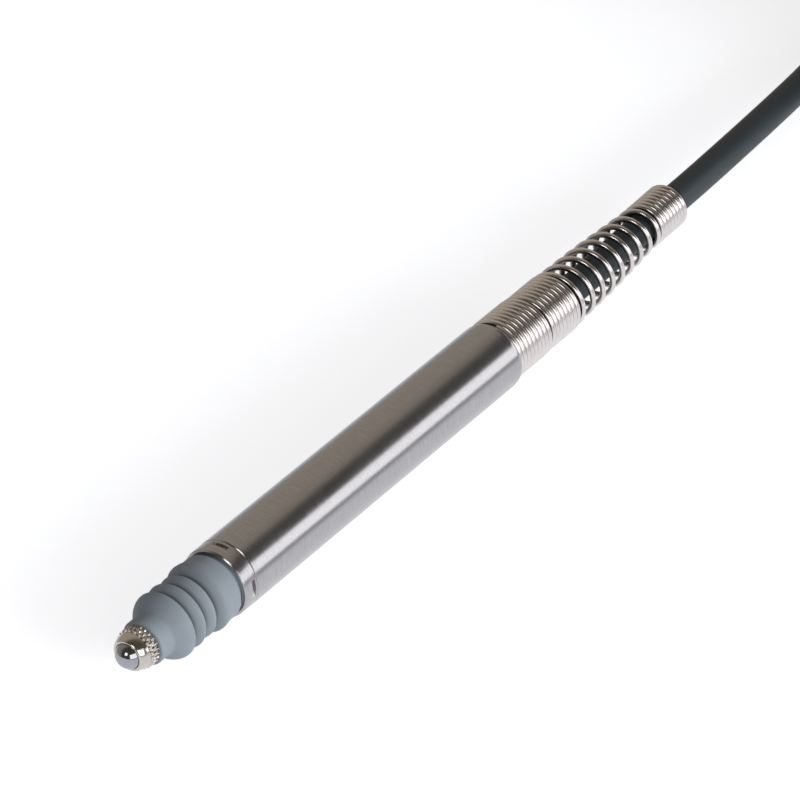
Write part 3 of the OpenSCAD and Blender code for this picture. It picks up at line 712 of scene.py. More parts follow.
def coil_tree(name, inputs, stages, material):
    """Winds a wire along X in stages; each has inputs for its turns, its pitch and the radius at its end."""
    tree, given = nodes_tree(name, inputs)
    total = 0.0
    for stage in stages:
        total = calc(tree, "ADD", total, given[f"{stage} Turns"])
    points = calc(tree, "MULTIPLY_ADD", total, given["Steps"], 1.0)
    line = add(tree, "GeometryNodeMeshLine", {"Count": points})
    turned = calc(tree, "DIVIDE", add(tree, "GeometryNodeInputIndex"), given["Steps"])
    station, size, done, before = given["Start"], given["Start Radius"], 0.0, given["Start Radius"]
    for stage in stages:
        turns, pitch, radius = (given[f"{stage} {part}"] for part in STAGE_PARTS)
        till = calc(tree, "ADD", done, turns)
        reach = calc(tree, "MULTIPLY", turns, pitch)
        widen = calc(tree, "SUBTRACT", radius, before)
        station = calc(tree, "ADD", station, ranged(tree, turned, done, till, 0.0, reach))
        size = calc(tree, "ADD", size, ranged(tree, turned, done, till, 0.0, widen))
        done, before = till, radius
    turn = calc(tree, "MULTIPLY_ADD", turned, 2 * math.pi, given["Start Angle"])
    # The wire leans sideways more and more along the stations of its lean
    bend = ranged(tree, station, given["Lean From"], given["Lean To"], 0.0, 1.0)
    side = calc(tree, "MULTIPLY_ADD", calc(tree, "POWER", bend, 1.5), given["Lean"], given["Offset"])
    across = calc(tree, "MULTIPLY_ADD", size, calc(tree, "COSINE", turn), side)
    height = calc(tree, "MULTIPLY_ADD", size, calc(tree, "SINE", turn), given["Axis Z"])
    spot = add(tree, "ShaderNodeCombineXYZ", {"X": station, "Y": across, "Z": height})
    set_out = add(tree, "GeometryNodeSetPosition", {"Geometry": line, "Position": spot})
    path = add(tree, "GeometryNodeMeshToCurve", {"Mesh": set_out})
    half = calc(tree, "MULTIPLY", given["Wire"], 0.5)
    ring = add(tree, "GeometryNodeCurvePrimitiveCircle", {"Resolution": given["Sides"], "Radius": half})
    wire = add(tree, "GeometryNodeCurveToMesh", {"Curve": path, "Profile Curve": ring, "Fill Caps": True})
    return hand_out(tree, add(tree, "GeometryNodeSetShadeSmooth", {"Geometry": wire}), material)


def wound(name, label, material, stages, shape):
    """A wound wire's mesh; each of its stages gives turns, pitch and the radius at its end."""
    inputs = {"Axis Z": AXIS[1], **shape}
    for stage, values in stages.items():
        inputs.update({f"{stage} {part}": value for part, value in zip(STAGE_PARTS, values)})
    mesh = grown(name, coil_tree(label, inputs, stages, material), inputs)
    return wire_skin(outward(mesh, 60), inputs["Sides"])


def balls_tree(name, inputs, material):
    """Sets out one ring of balls and repeats it down a cage, every other ring turned by half a step."""
    tree, given = nodes_tree(name, inputs)
    number = calc(tree, "MULTIPLY", given["Balls"], given["Rings"])
    points = add(tree, "GeometryNodePoints", {"Count": number})
    index = add(tree, "GeometryNodeInputIndex")
    ring = calc(tree, "FLOOR", calc(tree, "DIVIDE", index, given["Balls"]))
    shift = calc(tree, "MULTIPLY_ADD", calc(tree, "MODULO", ring, 2.0), 0.5, index)
    turn = calc(tree, "MULTIPLY", calc(tree, "DIVIDE", shift, given["Balls"]), 2 * math.pi)
    x = calc(tree, "MULTIPLY_ADD", ring, given["Pitch"], given["First"])
    y = calc(tree, "MULTIPLY", calc(tree, "SINE", turn), given["Circle Radius"])
    z = calc(tree, "MULTIPLY_ADD", calc(tree, "COSINE", turn), given["Circle Radius"], given["Axis Z"])
    spot = add(tree, "ShaderNodeCombineXYZ", {"X": x, "Y": y, "Z": z})
    set_out = add(tree, "GeometryNodeSetPosition", {"Geometry": points, "Position": spot})
    one = add(tree, "GeometryNodeMeshUVSphere", {"Segments": 24, "Rings": 14, "Radius": given["Ball Radius"]})
    smooth = add(tree, "GeometryNodeSetShadeSmooth", {"Geometry": one})
    copies = add(tree, "GeometryNodeInstanceOnPoints", {"Points": set_out, "Instance": smooth})
    return hand_out(tree, copies, material)


# Stage


def studio_room(sizes):
    """A warm grey room, nearly black on the camera's side: metal mirrors it where no lamp stands. The camera
    itself sees plain white past the floor, and dull surfaces get an even cool light."""
    world = bpy.data.worlds.new("studio room")
    world.use_nodes = True
    tree = world.node_tree
    tree.nodes.clear()
    seen = add(tree, "ShaderNodeLightPath")
    toward = add(tree, "ShaderNodeVectorMath", {0: coords(tree, "Generated"), 1: tuple(-LOOK)},
                 operation="DOT_PRODUCT")
    dim = ranged(tree, toward.outputs["Value"], 0.1, 0.65, sizes.room, sizes.camera_side, smooth=True)
    mirrored = add(tree, "ShaderNodeBackground", {"Color": srgb("#fff0dc"), "Strength": dim})
    even = add(tree, "ShaderNodeBackground", {"Color": srgb("#f2f4ff"), "Strength": sizes.ambient})
    room = add(tree, "ShaderNodeMixShader", {0: seen.outputs["Is Glossy Ray"], 1: even, 2: mirrored})
    white = add(tree, "ShaderNodeBackground", {"Color": (1, 1, 1, 1), "Strength": 1.0})
    both = add(tree, "ShaderNodeMixShader", {0: seen.outputs["Is Camera Ray"], 1: room, 2: white})
    add(tree, "ShaderNodeOutputWorld", {"Surface": both})
    return world


def paper_sweep(sizes):
    """White paper: it bounces light and keeps the shadow, and its glow makes it white to the camera and, near
    the probe, in metal."""
    paper, tree = blank_material("white_paper_sweep")
    seen = add(tree, "ShaderNodeLightPath")
    where = coords(tree)
    tone = ranged(tree, noise(tree, where, 40.0), 0.0, 1.0, 0.8, 0.83)
    dull = add(tree, "ShaderNodeBsdfDiffuse", {"Color": tone})
    side = add(tree, "ShaderNodeSeparateXYZ", {"Vector": where})
    off = calc(tree, "ABSOLUTE", side.outputs["Y"])
    near = ranged(tree, off, 16 * MM, 38 * MM, sizes.floor_glow, 0.0, smooth=True)
    mirror = calc(tree, "MAXIMUM", seen.outputs["Is Glossy Ray"], seen.outputs["Is Transmission Ray"])
    lit = calc(tree, "MULTIPLY", seen.outputs["Is Camera Ray"], sizes.floor_white)
    strength = calc(tree, "MULTIPLY_ADD", mirror, near, lit)
    glow = add(tree, "ShaderNodeEmission", {"Color": (1, 1, 1, 1), "Strength": strength})
    both = add(tree, "ShaderNodeAddShader", {0: dull, 1: glow})
    add(tree, "ShaderNodeOutputMaterial", {"Surface": both})
    return paper


def card(name, corners, material):
    """A flat card that belongs to the stage."""
    mesh = bpy.data.meshes.new(name)
    mesh.from_pydata([tuple(c) for c in corners], [], [(0, 1, 2, 3)])
    mesh.materials.append(material)
    made = link(bpy.data.objects.new(name, mesh))
    return made


def facing(spot):
    """The turn of a lamp or a card that faces the probe from a spot."""
    return (-Vector(spot)).to_track_quat("-Z", "Y")


def lamp_box(name, spot, width, height, radiance, colour, in_metal):
    """A box of light that faces the probe, and that metal mirrors or not."""
    lamp = bpy.data.lights.new(name, "AREA")
    lamp.shape = "RECTANGLE"
    lamp.size, lamp.size_y = width, height
    lamp.energy = radiance * math.pi * width * height
    lamp.color = srgb(colour)[:3]
    box = link(bpy.data.objects.new(name, lamp))
    box.location = spot
    box.rotation_euler = facing(spot).to_euler()
    box.visible_camera = False
    box.visible_glossy = in_metal


# Operators


def colour_of(context, name):
    """A colour of the finishes' group as four plain numbers."""
    return tuple(getattr(context.scene.probe_colours, name))


class PROBE_OT_stage(bpy.types.Operator):
    """Pale floor, soft studio light and the camera"""
    bl_idname = "probe.stage"
    bl_label = "Stage"

    def execute(self, context):
        sizes = context.scene.probe_stage
        context.scene.view_settings.view_transform = "Standard"
        camera = link(bpy.data.objects.new("camera", bpy.data.cameras.new("camera")))
        camera.data.lens = sizes.lens
        camera.data.sensor_width = 36.0
        camera.data.clip_start, camera.data.clip_end = 0.01, 20.0
        camera.location = EYE
        camera.rotation_euler = LOOK.to_track_quat("-Z", "Y").to_euler()
        context.scene.camera = camera
        context.scene.world = studio_room(sizes)
        half_floor = 8.0
        card("floor", [(sx * half_floor, sy * half_floor, 0) for sx, sy in CORNERS], paper_sweep(sizes))

        # The long side box and the nose box draw the bright bands on the metal, the front lamp the spot on
        # the ball; the fills light only what is dull
        lamp_box("side_box", (1.55, -1.675, 0.52), 2.5, 0.95, sizes.side, "#f6f9ff", True)
        lamp_box("side_fill", (0.1, -2.55, 0.5), 2.0, 1.2, 8.0, "#f8fbff", False)
        lamp_box("back_fill", (0.9, 2.3, 0.9), 2.0, 1.2, 0.7, "#fff2e2", False)
        lamp_box("nose_box", (-0.75, -1.78, 0.55), 2.0, 1.3, 1.8, "#ffffff", True)
        lamp_box("front_lamp", (-0.556, -0.043, 0.357), 0.2, 0.2, 3.0, "#ffffff", True)

        # A black cloth above the side box, as a studio hangs it, which only metal mirrors
        black, tree = blank_material("black_studio_cloth")
        faint = add(tree, "ShaderNodeEmission", {"Color": srgb("#fffaf4"), "Strength": 0.085})
        add(tree, "ShaderNodeOutputMaterial", {"Surface": faint})
        spot, width, height = Vector((1.354, -0.82, 1.231)), 3.4, 0.85
        turn = facing(spot).to_matrix()
        corners = [spot + turn @ Vector((sx * width / 2, sy * height / 2, 0)) for sx, sy in CORNERS]
        cloth = card("upper_cloth", corners, black)
        cloth.visible_camera = cloth.visible_diffuse = cloth.visible_shadow = False
        cloth.visible_transmission = False
        return {"FINISHED"}


def hank_route(sizes):
    """The middle line of the tied turns, from the first run beside the axis to the last one on top."""
    d = sizes.diameter
    x0, x1, yc = sizes.hank_start, sizes.hank_start + sizes.hank_run, sizes.hank_side
    inner, outer = sizes.hank_radius, sizes.hank_radius + d
    level = [sizes.strap + (k + 0.5) * d for k in range(HANK_LAYERS + 1)]
    # Each turn's radius and height: layers go outwards and inwards by turns, so that none crosses another
    turns = []
    for k in range(HANK_LAYERS):
        pair = [(outer, level[k]), (inner, level[k])]
        turns += pair if k % 2 == 0 else pair[::-1]
    turns.append((inner, level[HANK_LAYERS]))
    # A turn moves to its next place over this length, and the turn after it has moved a little before
    early, move = 22 * MM, 18.1 * MM
    lag = 0.26 * move
    half_turn = math.pi * (inner + outer) / 2
    last = len(turns) - 2
    far_end = np.linspace(0, math.pi, 15)[1:]
    route = []
    for number, ((r, z), (next_r, next_z)) in enumerate(zip(turns, turns[1:])):
        # Out along the far run, round the far end and back to where the move may start
        route += [Vector((x, yc + r, z)) for x in np.linspace(x0 + 2 * MM, x1, 14)]
        route += [Vector((x1 + r * math.sin(a), yc + r * math.cos(a), z)) for a in far_end]
        route += [Vector((x, yc - r, z)) for x in np.linspace(x1, x0 + early, 9)[1:]]
        start = -early + (last - number) * lag
        for s in np.arange(-early + 3 * MM, half_turn + 0.1 * MM, 2.4 * MM):
            moved = eased((s - start) / move)
            inwards = eased(s / half_turn) if number == last else moved
            at_r = r + (next_r - r) * inwards
            a = -math.pi / 2 - math.pi * max(s, 0.0) / half_turn
            route.append(Vector((x0 + at_r * math.cos(a) - min(s, 0.0), yc + at_r * math.sin(a),
                                 z + (next_z - z) * moved)))
    return route


class PROBE_OT_cable(bpy.types.Operator):
    """Cable from the rear bush through its tied hank to the plug, with the two straps"""
    bl_idname = "probe.cable"
    bl_label = "Cable and Straps"

    def execute(self, context):
        sizes = context.scene.probe_cable
        d, thick, top = sizes.diameter, sizes.strap, sizes.strap + HANK_LAYERS * sizes.diameter
        ends = [[Vector(p) * MM for p in points] for points in (CABLE_ROUTE, TAIL_ROUTE)]
        path = smooth_path(ends[0] + hank_route(sizes) + ends[1], 1.5 * MM)
        # Extruded polyurethane jacket: dull dark grey, with the faint lengthwise lines of the extruder
        jacket = moulded("extruded_polyurethane_jacket", colour_of(context, "cable"), rough=0.5, grain=0.28,
                         depth=0.006, mottle=0.1, drawn=4.0)
        place("cable", tube("cable", path, d / 2, 20), jacket, "cable", "housing",
              "cable_run", "cable_hank", "cable_tail")
        context.scene["cable_path"] = [c for p in path for c in p]

        nylon = woven_strap("woven_nylon_strap")
        low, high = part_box("hank_ties")
        for side, name in ((1, "strap_run_side"), (-1, "strap_outer_side")):
            near, far = side * (sizes.hank_radius - d / 2), side * (sizes.hank_radius + 1.5 * d)
            left, right = sizes.hank_side + min(near, far), sizes.hank_side + max(near, far)
            # The strap beside the run also holds the last turn, which lies on top of the others
            corners = [(right, top)]
            corners += [(left + d, top + d), (left, top + d)] if side > 0 else [(left, top)]
            corners += [(left, thick), (right, thick)]
            mesh = strap_mesh(name, corners, low.x, high.x, thick)
            place(name, mesh, nylon, "tie", "housing", "hank_ties")
        return {"FINISHED"}


class PROBE_OT_ball(bpy.types.Operator):
    """Contact ball set in the nose of its holder"""
    bl_idname = "probe.ball"
    bl_label = "Contact Ball"

    def execute(self, context):
        # Tungsten carbide, lapped: a dark grey mirror with hardly a mark
        carbide = plated_metal("lapped_tungsten_carbide", colour_of(context, "ball"), rough=0.1, worn=0.03,
                               scale=2500.0, depth=0.0002)
        half_turn = np.linspace(0, math.pi, 61)
        profile = [(BALL_X - BALL_R * math.cos(a), BALL_R * math.sin(a)) for a in half_turn]
        mesh = lathe("tip_ball", profile, 96, sharp=60)
        place("tip_ball", mesh, carbide, "ball", "spindle", "contact_ball")
        return {"FINISHED"}


class PROBE_OT_holder(bpy.types.Operator):
    """Knurled holder of the ball: domed nose, diamond knurl and screwed stud"""
    bl_idname = "probe.holder"
    bl_label = "Ball Holder"

    def execute(self, context):
        sizes = context.scene.probe_tip
        # Turned brass with bright nickel: a warm, clean mirror
        nickel = plated_metal("turned_brass_bright_nickel", colour_of(context, "nickel"), rough=0.13,
                              worn=0.06, scale=1600.0, depth=0.001)
        r = (TIP_HIGH.z - TIP_LOW.z) / 2
        grip_back = RUBBER_LOW.x - 0.01 * MM
        grip_front = grip_back - sizes.grip_length + 0.01 * MM
        nose_front = grip_front - sizes.nose_length
        gap, lip_r, sunk, edge = 0.05 * MM, 0.13 * MM, 0.03 * MM, 0.1 * MM
        stud_r, stud_back, stud_edge = 1.0 * MM, TIP_HIGH.x, 0.15 * MM

        # The ball's pocket, its rolled lip and the domed nose
        lip = math.sqrt(max(BALL_R**2 - (nose_front - BALL_X) ** 2, 0)) + gap
        pocket = [(BALL_X + BALL_R * math.cos(a), (BALL_R + gap) * math.sin(a))
                  for a in np.linspace(0.0, math.pi - math.asin(min(lip / (BALL_R + gap), 1)), 24)]
        nose_r = r - sizes.knurl_depth - sunk
        nose = [(grip_front - sizes.nose_length * math.cos(a) ** 1.3,
                 lip + lip_r + (nose_r - lip - lip_r) * math.sin(a) ** 1.15)
                for a in np.linspace(0.0, math.pi / 2 - 1e-6, 22)]
        lip_front = nose_front + 0.004 * MM
        nose[0] = (lip_front, lip + lip_r * 0.75)
        front = pocket + [(nose_front + sunk, lip), (lip_front, lip + lip_r * 0.3)] + nose

        # The knurled band is one even grid, fine enough to carry the grooves
        rows, segments_a_groove = 48, 24
        step = grip_front + 0.02 * MM
        grip = [(step, nose_r), (step, r - edge * 1.4)]
        grip += [(x, r) for x in np.linspace(grip_front + edge, grip_back - edge, rows)]
        grip += [(grip_back, r - edge), (grip_back, stud_r)]
        stud = [(stud_back - stud_edge, stud_r), (stud_back, stud_r - stud_edge), (stud_back, 0.0)]
        segments = sizes.knurl_rows * segments_a_groove
        turned = lathe("tip_holder", front + grip + stud, segments, sharp=38)
        half = (grip_back - grip_front) / 2
        inputs = {"Axis Y": AXIS[0], "Axis Z": AXIS[1], "Middle": (grip_front + grip_back) / 2, "Radius": r,
                  "Grooves": sizes.knurl_rows, "Slant": sizes.knurl_slant, "Floor": 0.01 * MM, "Flank": 0.8,
                  "Depth": sizes.knurl_depth, "Half Length": half + 0.02 * MM, "Full Half Length": half}
        mesh = grown("tip_holder", carving_tree("Knurl", inputs, nickel), inputs, turned)
        place("tip_holder", outward(mesh, 42), nickel, "tip", "spindle", "contact_tip")
        return {"FINISHED"}


class PROBE_OT_bellows(bpy.types.Operator):
    """Moulded rubber bellows with its collar, folds, cuff and tail"""
    bl_idname = "probe.bellows"
    bl_label = "Bellows"

    def execute(self, context):
        sizes = context.scene.probe_bellows
        # Blue-grey fluorocarbon rubber, moulded: dull, with a faint bloom
        rubber = moulded("moulded_blue_grey_rubber", colour_of(context, "rubber"), rough=0.62, grain=0.09,
                         depth=0.004, mottle=0.035, sheen=0.12)
        front, tail_back = RUBBER_LOW.x, RUBBER_HIGH.x
        cuff_r, collar_r, neck_r, tail_r = 3.775 * MM, 2.53 * MM, 1.77 * MM, RING_R - 0.66 * MM
        cuff_back = RING_LOW.x - 0.5 * MM
        fold_from = front + 1.78 * MM
        reach = cuff_back - fold_from
        valley = cuff_r - sizes.fold_depth
        # Station in shares of the folded length, radius, and whether it is a crest
        folds = ((0.0, collar_r, False), (0.2, cuff_r + 0.02 * MM, True), (0.275, valley, False),
                 (0.39, cuff_r - 0.06 * MM, True), (0.46, valley, False), (0.58, cuff_r - 0.16 * MM, True),
                 (0.645, valley, False), (0.76, cuff_r + 0.17 * MM, True), (0.88, cuff_r - 0.03 * MM, False))
        steps = 9
        wave = []
        for (t0, r0, _), (t1, r1, to_crest) in zip(folds, folds[1:]):
            for k in range(steps):
                t = k / steps
                rise = (1 - math.cos(math.pi * t)) / 2
                # A crest is full and a valley narrow, as soft rubber folds
                share = rise ** sizes.fullness if to_crest else 1 - (1 - rise) ** sizes.fullness
                wave.append((fold_from + reach * (t0 + (t1 - t0) * t), r0 + (r1 - r0) * share))
        outline = [(front, neck_r), (front, collar_r - 0.18 * MM), (front + 0.06 * MM, collar_r - 0.05 * MM),
                   (front + 0.2 * MM, collar_r)]
        outline += wave
        outline += [(fold_from + reach * folds[-1][0], cuff_r - 0.01 * MM), (cuff_back - 0.16 * MM, cuff_r),
                    (cuff_back - 0.04 * MM, cuff_r - 0.05 * MM), (cuff_back, cuff_r - 0.18 * MM),
                    (cuff_back, tail_r), (tail_back, tail_r), (tail_back, tail_r - sizes.wall),
                    (cuff_back, tail_r - sizes.wall)]
        # Inside, the wall follows the folds down to the pocket that grips the spindle's flange
        pocket_r, flange_front, flange_back = 2.15 * MM, front + 1.75 * MM, front + 2.35 * MM
        inner = [(x, r - sizes.wall) for x, r in wave if r - sizes.wall > pocket_r and x > flange_back]
        outline += inner[::-1]
        outline += [(flange_back, pocket_r), (flange_front, pocket_r), (flange_front, neck_r)]
        along, first = lengths_along(outline), outline.index(wave[0])
        valleys = [i for i, fold in enumerate(folds) if fold[1] == valley]
        # Painted shade darkens the rubber's colour in each fold valley
        painted_fold_shade(rubber, [along[first + steps * i] for i in valleys])
        mesh = lathe("rubber_bellows", outline, 192, loop=True, sharp=48)
        piece = place("rubber_bellows", mesh, rubber, "bellows", None, "bellows")
        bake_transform(piece)
        return {"FINISHED"}


def notch_cutter(sizes, x_from, x_to):
    """Round cutters for the ring's spanner notches, one for each."""
    cutter_r, depth, sides = 1.7 * MM, 0.45 * MM, 64
    middle = RING_R - depth + cutter_r
    points, faces = [], []
    for k in range(sizes.notches):
        # The construction turns a notch from the axis' own X, which is -Z here
        turn = math.pi + 2 * math.pi * k / sizes.notches + sizes.notch_turn
        first = len(points)
        for x in (x_from, x_to):
            for j in range(sides):
                a = 2 * math.pi * j / sides
                points.append((x, AXIS[0] + middle * math.sin(turn) + cutter_r * math.cos(a),
                               AXIS[1] - middle * math.cos(turn) + cutter_r * math.sin(a)))
        faces += [[first + j for j in face] for face in sleeve(sides, (0, 1), range(sides + 1))[0]]
    return link(bpy.data.objects.new("notch_cutter", solid_mesh("notch_cutter", points, faces)))


class PROBE_OT_stem(bpy.types.Operator):
    """Ground stem tube and the notched ring ahead of it"""
    bl_idname = "probe.stem"
    bl_label = "Stem and Ring"

    def execute(self, context):
        sizes = context.scene.probe_stem
        colour = colour_of(context, "steel")
        steel = ground_steel("centreless_ground_stainless", colour, grain=0.16, rough=0.15)
        end, chamfer = STEM_HIGH.x, 0.1 * MM
        outline = rounded([(JOINT, BORE_R), (JOINT, STEM_R - chamfer, sizes.edge),
                           (JOINT + chamfer, STEM_R, 0.04 * MM)])
        outline += [(x, STEM_R) for x in np.linspace(JOINT + 2 * chamfer, end - sizes.round_length, 12)]
        for a in np.linspace(0, math.pi / 2, 10)[1:]:
            outline.append((end - sizes.round_length * (1 - math.sin(a)),
                            STEM_R - sizes.round_depth * (1 - math.cos(a))))
        outline.append((end, BORE_R))
        mesh = lathe("stem_tube", outline, 256, loop=True)
        place("stem_tube", mesh, steel, "stem", "housing", "body_tube")

        # Turned stainless steel: its lines are closer and deeper than the ground stem's
        turned = ground_steel("turned_stainless_ring", colour, grain=0.1, rough=0.17, depth=0.0016)
        r, front, back = RING_R, RING_LOW.x, RING_HIGH.x
        shank_r, neck_r, recess_r = BORE_R - 0.02 * MM, 1.8 * MM, r - 0.6 * MM
        floor, soft = 0.9 * MM, 0.03 * MM
        outline = rounded([
            (front, recess_r), (front, r - 0.16 * MM, soft), (front + 0.16 * MM, r, soft),
            (JOINT - chamfer, r, soft), (JOINT, r - chamfer), (JOINT, shank_r),
            (back, shank_r), (back, neck_r), (front + floor, neck_r), (front + floor, recess_r)])
        ring = link(bpy.data.objects.new("ring_blank", lathe("stem_ring", outline, 256, loop=True)))
        notch_back = JOINT - 0.4 * MM
        cutter = notch_cutter(sizes, notch_back - sizes.notch_width, notch_back)
        cut = ring.modifiers.new("notches", "BOOLEAN")
        cut.operation, cut.solver, cut.object = "DIFFERENCE", "EXACT", cutter
        edge = ring.modifiers.new("broken edges", "BEVEL")
        edge.width, edge.segments = 0.02 * MM, 2
        edge.limit_method, edge.angle_limit = "ANGLE", math.radians(40)
        mesh = plain(ring)
        for gone in (ring, cutter):
            bpy.data.objects.remove(gone)
        place("stem_ring", outward(mesh, 35), turned, "stem", "housing", "front_ring")
        return {"FINISHED"}


class PROBE_OT_springs(bpy.types.Operator):
    """Strain relief spring round the cable and the return spring inside the stem"""
    bl_idname = "probe.springs"
    bl_label = "Springs"

    def execute(self, context):
        sizes = context.scene.probe_spring
        # Drawn spring steel wire with bright nickel: each turn a thin bright line, with painted shade on its
        # flanks
        wire = plated_metal("nickelled_spring_wire", colour_of(context, "wire"), rough=0.2, worn=0.06,
                            scale=1100.0, depth=0.0004)
        # Painted shade between the turns, put into the wire's colour
        painted_turn_shade(wire)
        front, second, middle, rear = ((d - sizes.wire) / 2
                                       for d in (sizes.front, sizes.second, sizes.middle, sizes.rear))
        closed, opened = sizes.close_pitch, sizes.open_pitch
        step, widen, shoulder = closed + 0.27 * MM, closed + 0.41 * MM, second - 0.12 * MM
        stages = {
            "Front": (8.1, closed, front), "Step": (1.0, step, second), "Second": (7.0, closed, second),
            "Widen": (1.0, widen, shoulder), "Open": (3.5, opened, middle), "Taper": (4.5, opened, rear),
            "Close": (1.0, step, rear), "Rear": (7.5, closed, rear)}
        shape = {
            "Start": STEM_HIGH.x + sizes.wire / 2 + 0.03 * MM, "Start Radius": front,
            "Start Angle": math.radians(95), "Lean": sizes.lean, "Offset": sizes.offset,
            "Lean From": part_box("rear_bush")[1].x + 1 * MM, "Lean To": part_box("relief_spring")[1].x,
            "Wire": sizes.wire, "Steps": 56, "Sides": 14}
        mesh = wound("strain_spring", "Strain Relief Spring", wire, stages, shape)
        place("strain_spring", mesh, wire, "spring", "housing", "relief_spring")

        # The return spring is the same kind of wire, wound evenly between the spindle's head and its seat
        low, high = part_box("return_spring")
        thin, radius, turns = 0.35 * MM, 1.825 * MM, 9.0
        shape = {
            "Start": low.x + thin / 2, "Start Radius": radius, "Start Angle": 0.0, "Lean": 0.0, "Offset": 0.0,
            "Lean From": low.x, "Lean To": high.x, "Wire": thin, "Steps": 40, "Sides": 10}
        stages = {"Even": (turns, (high.x - low.x - thin) / turns, radius)}
        mesh = wound("push_spring", "Return Spring", wire, stages, shape)
        piece = place("push_spring", mesh, wire, "spring", "housing", "return_spring")
        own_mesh(piece)
        return {"FINISHED"}


class PROBE_OT_inside(bpy.types.Operator):
    """Finishes of the spindle, its ball guide, the coil system and the rear end"""
    bl_idname = "probe.inside"
    bl_label = "Inner Pieces"

    def execute(self, context):
        # Ground and turned metals, from fine bright lines on hardened steel to annealed iron's dull skin
        metals = (
            ("hardened_ground_bearing_steel", "#bdbdbf", 0.12, 0.18, ("spindle", "guide_sleeve", "key_pin")),
            ("turned_stainless_bush", "#bfbbb6", 0.14, 0.24, ("rear_bush", "cable_ferrule")),
            ("turned_brass", "#d6b26a", 0.14, 0.24, ("ball_cage", "core_rod")),
            ("annealed_soft_iron", "#8d8c8b", 0.2, 0.42, ("core", "magnetic_shield")))
        for name, colour, grain, rough, nodes in metals:
            repaint(ground_steel(name, srgb(colour), grain, rough, uv=False), *nodes)
        # Moulded plastic and rubber with a dull grain, and a board with a smoother lacquer over its fibres
        plastics = (
            ("moulded_polyester_former", "#e6dfcd", 0.45, 0.12, 0.003, ("coil_bobbin", "spring_seat")),
            ("lacquered_glass_fibre_board", "#1d5a36", 0.28, 0.3, 0.004, ("solder_board",)),
            ("moulded_black_nitrile_ring", "#17181a", 0.5, 0.1, 0.003, ("seal_ring",)))
        for name, colour, rough, grain, depth, nodes in plastics:
            repaint(moulded(name, srgb(colour), rough, grain, depth), *nodes)
        repaint(wound_copper("enamelled_copper_winding"), "winding_front", "winding_middle", "winding_rear")
        repaint(wire_colours("pvc_insulated_wires"), "lead_wires")

        # Hardened steel balls, polished: a mirror with hardly a mark
        polished = plated_metal("polished_bearing_steel", srgb("#cfcfd1"), rough=0.06, worn=0.03,
                                scale=3000.0, depth=0.0003)
        low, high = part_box("guide_balls")
        ball_r, rings = 0.45 * MM, 5
        pitch = (high.x - low.x - 2 * ball_r) / (rings - 1)
        inputs = {"Ball Radius": ball_r, "Circle Radius": (high.z - low.z) / 2 - ball_r, "Balls": 8,
                  "Rings": rings, "First": low.x + ball_r, "Pitch": pitch, "Axis Z": AXIS[1]}
        balls = grown("bearing_balls", balls_tree("Guide Balls", inputs, polished), inputs)
        place("bearing_balls", outward(balls, 60), polished, "ball", "ball_cage", "guide_balls")
        return {"FINISHED"}


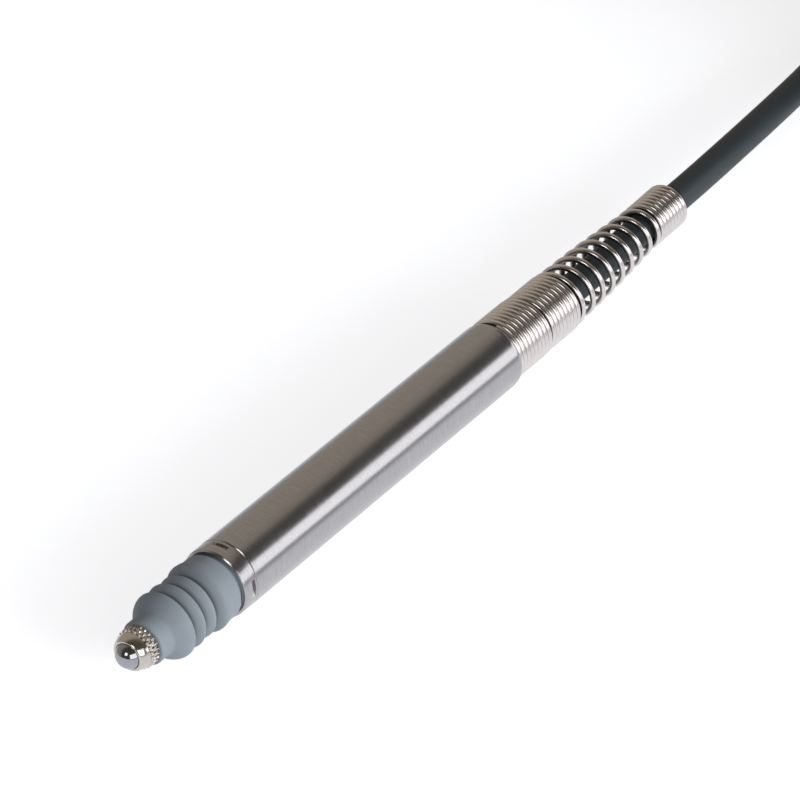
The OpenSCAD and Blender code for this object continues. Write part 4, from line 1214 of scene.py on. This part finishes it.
class PROBE_OT_plug(bpy.types.Operator):
    """Round plug: ribbed boot, fluted grip, metal shroud, insert and pins"""
    bl_idname = "probe.plug"
    bl_label = "Plug"

    def execute(self, context):
        sizes = context.scene.probe_plug
        # Soft black elastomer and a firm glass-filled polyamide, both with the mould's dull grain
        soft = moulded("moulded_black_elastomer", srgb("#1b1c1e"), rough=0.55, grain=0.12, depth=0.006)
        firm = moulded("moulded_black_polyamide", srgb("#26272a"), rough=0.42, grain=0.16, depth=0.01,
                       mottle=0.08)
        bore, small, big = 1.78 * MM, 2.45 * MM, 4.6 * MM
        root, foot, crown = big - 0.5 * MM, 0.15 * MM, 0.3 * MM
        x0, boot_len = BOOT_LOW.x, BOOT_HIGH.x - BOOT_LOW.x
        pitch = boot_len / (sizes.ribs + 0.5)
        outline = [(x0, bore), (x0, small, 0.2 * MM)]
        for k in range(sizes.ribs):
            a, rib = x0 + (k + 0.5) * pitch, small + (big - small) * (k + 1) / sizes.ribs
            b = a + 0.55 * pitch
            cone_a, cone_b = (small + (root - small) * (x - x0) / boot_len for x in (a, b))
            outline += [(a, cone_a, foot), (a, rib, crown), (b, rib, crown), (b, cone_b, foot)]
        outline += [(x0 + boot_len, root), (x0 + boot_len, bore)]
        mesh = lathe("plug_sleeve", rounded(outline), 96, loop=True, axis=PLUG_AXIS, sharp=50)
        boot = place("plug_sleeve", mesh, soft, "seal", "housing", "plug_boot")

        r, a, b = (GRIP_HIGH.z - GRIP_LOW.z) / 2, GRIP_LOW.x, GRIP_HIGH.x
        outline = rounded([(a, 0.0), (a, r - 2 * MM, 0.3 * MM), (a + 1.4 * MM, r - 0.4 * MM, 0.8 * MM),
                           (a + 2.2 * MM, r, 0.5 * MM)])
        outline += [(x, r) for x in np.linspace(a + 3 * MM, b - 1.6 * MM, 40)]
        outline += rounded([(b - 1.2 * MM, r), (b - 0.5 * MM, r, 0.3 * MM), (b, r - 0.5 * MM, 0.2 * MM),
                            (b, 0.0)])
        inputs = {"Axis Y": PLUG_AXIS[0], "Axis Z": PLUG_AXIS[1], "Middle": (a + b - 1 * MM) / 2, "Radius": r,
                  "Grooves": sizes.flutes, "Slant": 0.0, "Floor": 0.3 * MM, "Flank": 0.85,
                  "Depth": sizes.flute_depth, "Half Length": 6.9 * MM, "Full Half Length": 6.0 * MM}
        # Each flute takes 20 segments, and a grip with few flutes or none is still round
        segments = max(20 * sizes.flutes, 96)
        turned = lathe("plug_grip_shell", outline, segments, axis=PLUG_AXIS, sharp=50)
        mesh = grown("plug_grip_shell", carving_tree("Grip Flutes", inputs, firm), inputs, turned)
        grip = place("plug_grip_shell", outward(mesh, 50), firm, "plug", "housing", "plug_grip")

        # Die-cast zinc with a satin nickel coat: a soft mirror
        satin = plated_metal("die_cast_zinc_satin_nickel", srgb("#c9c6c1"), rough=0.26, worn=0.1,
                             scale=700.0, depth=0.003)
        r, a, b = (SHROUD_HIGH.z - SHROUD_LOW.z) / 2, SHROUD_LOW.x, SHROUD_HIGH.x
        wall, edge = 0.5 * MM, 0.15 * MM
        outline = rounded([(a, r - wall), (a, r), (b, r, edge), (b, r - wall, edge)])
        mesh = lathe("plug_shell_tube", outline, 128, loop=True, axis=PLUG_AXIS)
        shell = place("plug_shell_tube", mesh, satin, "tip", "housing", "plug_shroud")
        # Black moulded insert, and turned brass pins with a thin gold coat
        repaint(moulded("moulded_polyester_insert", srgb("#141416"), rough=0.4, grain=0.12, depth=0.004),
                "plug_insert")
        repaint(plated_metal("gold_plated_pins", srgb("#e8c26a"), rough=0.16, worn=0.06, scale=1400.0,
                             depth=0.0006), "plug_pins")

        del context.scene["cable_path"]
        return {"FINISHED"}


# Add-on


GROUPS = {
    "probe_tip": ProbeTip, "probe_bellows": ProbeBellows, "probe_stem": ProbeStem,
    "probe_spring": ProbeSpring, "probe_cable": ProbeCable, "probe_plug": ProbePlug,
    "probe_colours": ProbeColours, "probe_stage": ProbeStage,
}
OPERATORS = (PROBE_OT_stage, PROBE_OT_cable, PROBE_OT_ball, PROBE_OT_holder, PROBE_OT_bellows, PROBE_OT_stem,
             PROBE_OT_springs, PROBE_OT_inside, PROBE_OT_plug)


class PROBE_PT_panel(bpy.types.Panel):
    """Lists the probe's pieces and sizes"""
    bl_idname = "PROBE_PT_panel"
    bl_label = "Gauging Probe"
    bl_space_type = "VIEW_3D"
    bl_region_type = "UI"
    bl_category = "Probe"

    def draw(self, context):
        for group, kind in GROUPS.items():
            box = self.layout.box()
            box.label(text=kind.__doc__)
            for name in kind.__annotations__:
                box.prop(getattr(context.scene, group), name)
        for operator in OPERATORS:
            self.layout.operator(operator.bl_idname)


def register():
    """Registers the classes and puts the sizes on the scene."""
    for kind in (*GROUPS.values(), *OPERATORS, PROBE_PT_panel):
        bpy.utils.register_class(kind)
    for group, kind in GROUPS.items():
        setattr(bpy.types.Scene, group, bpy.props.PointerProperty(type=kind))


def unregister():
    """Takes the sizes off the scene and the classes out."""
    for group in GROUPS:
        delattr(bpy.types.Scene, group)
    for kind in reversed((*GROUPS.values(), *OPERATORS, PROBE_PT_panel)):
        bpy.utils.unregister_class(kind)


def main():
    """Registers the add-on and makes every piece in order."""
    register()
    for operator in OPERATORS:
        group, name = operator.bl_idname.split(".")
        getattr(getattr(bpy.ops, group), name)()


if __name__ == "__main__":
    main()
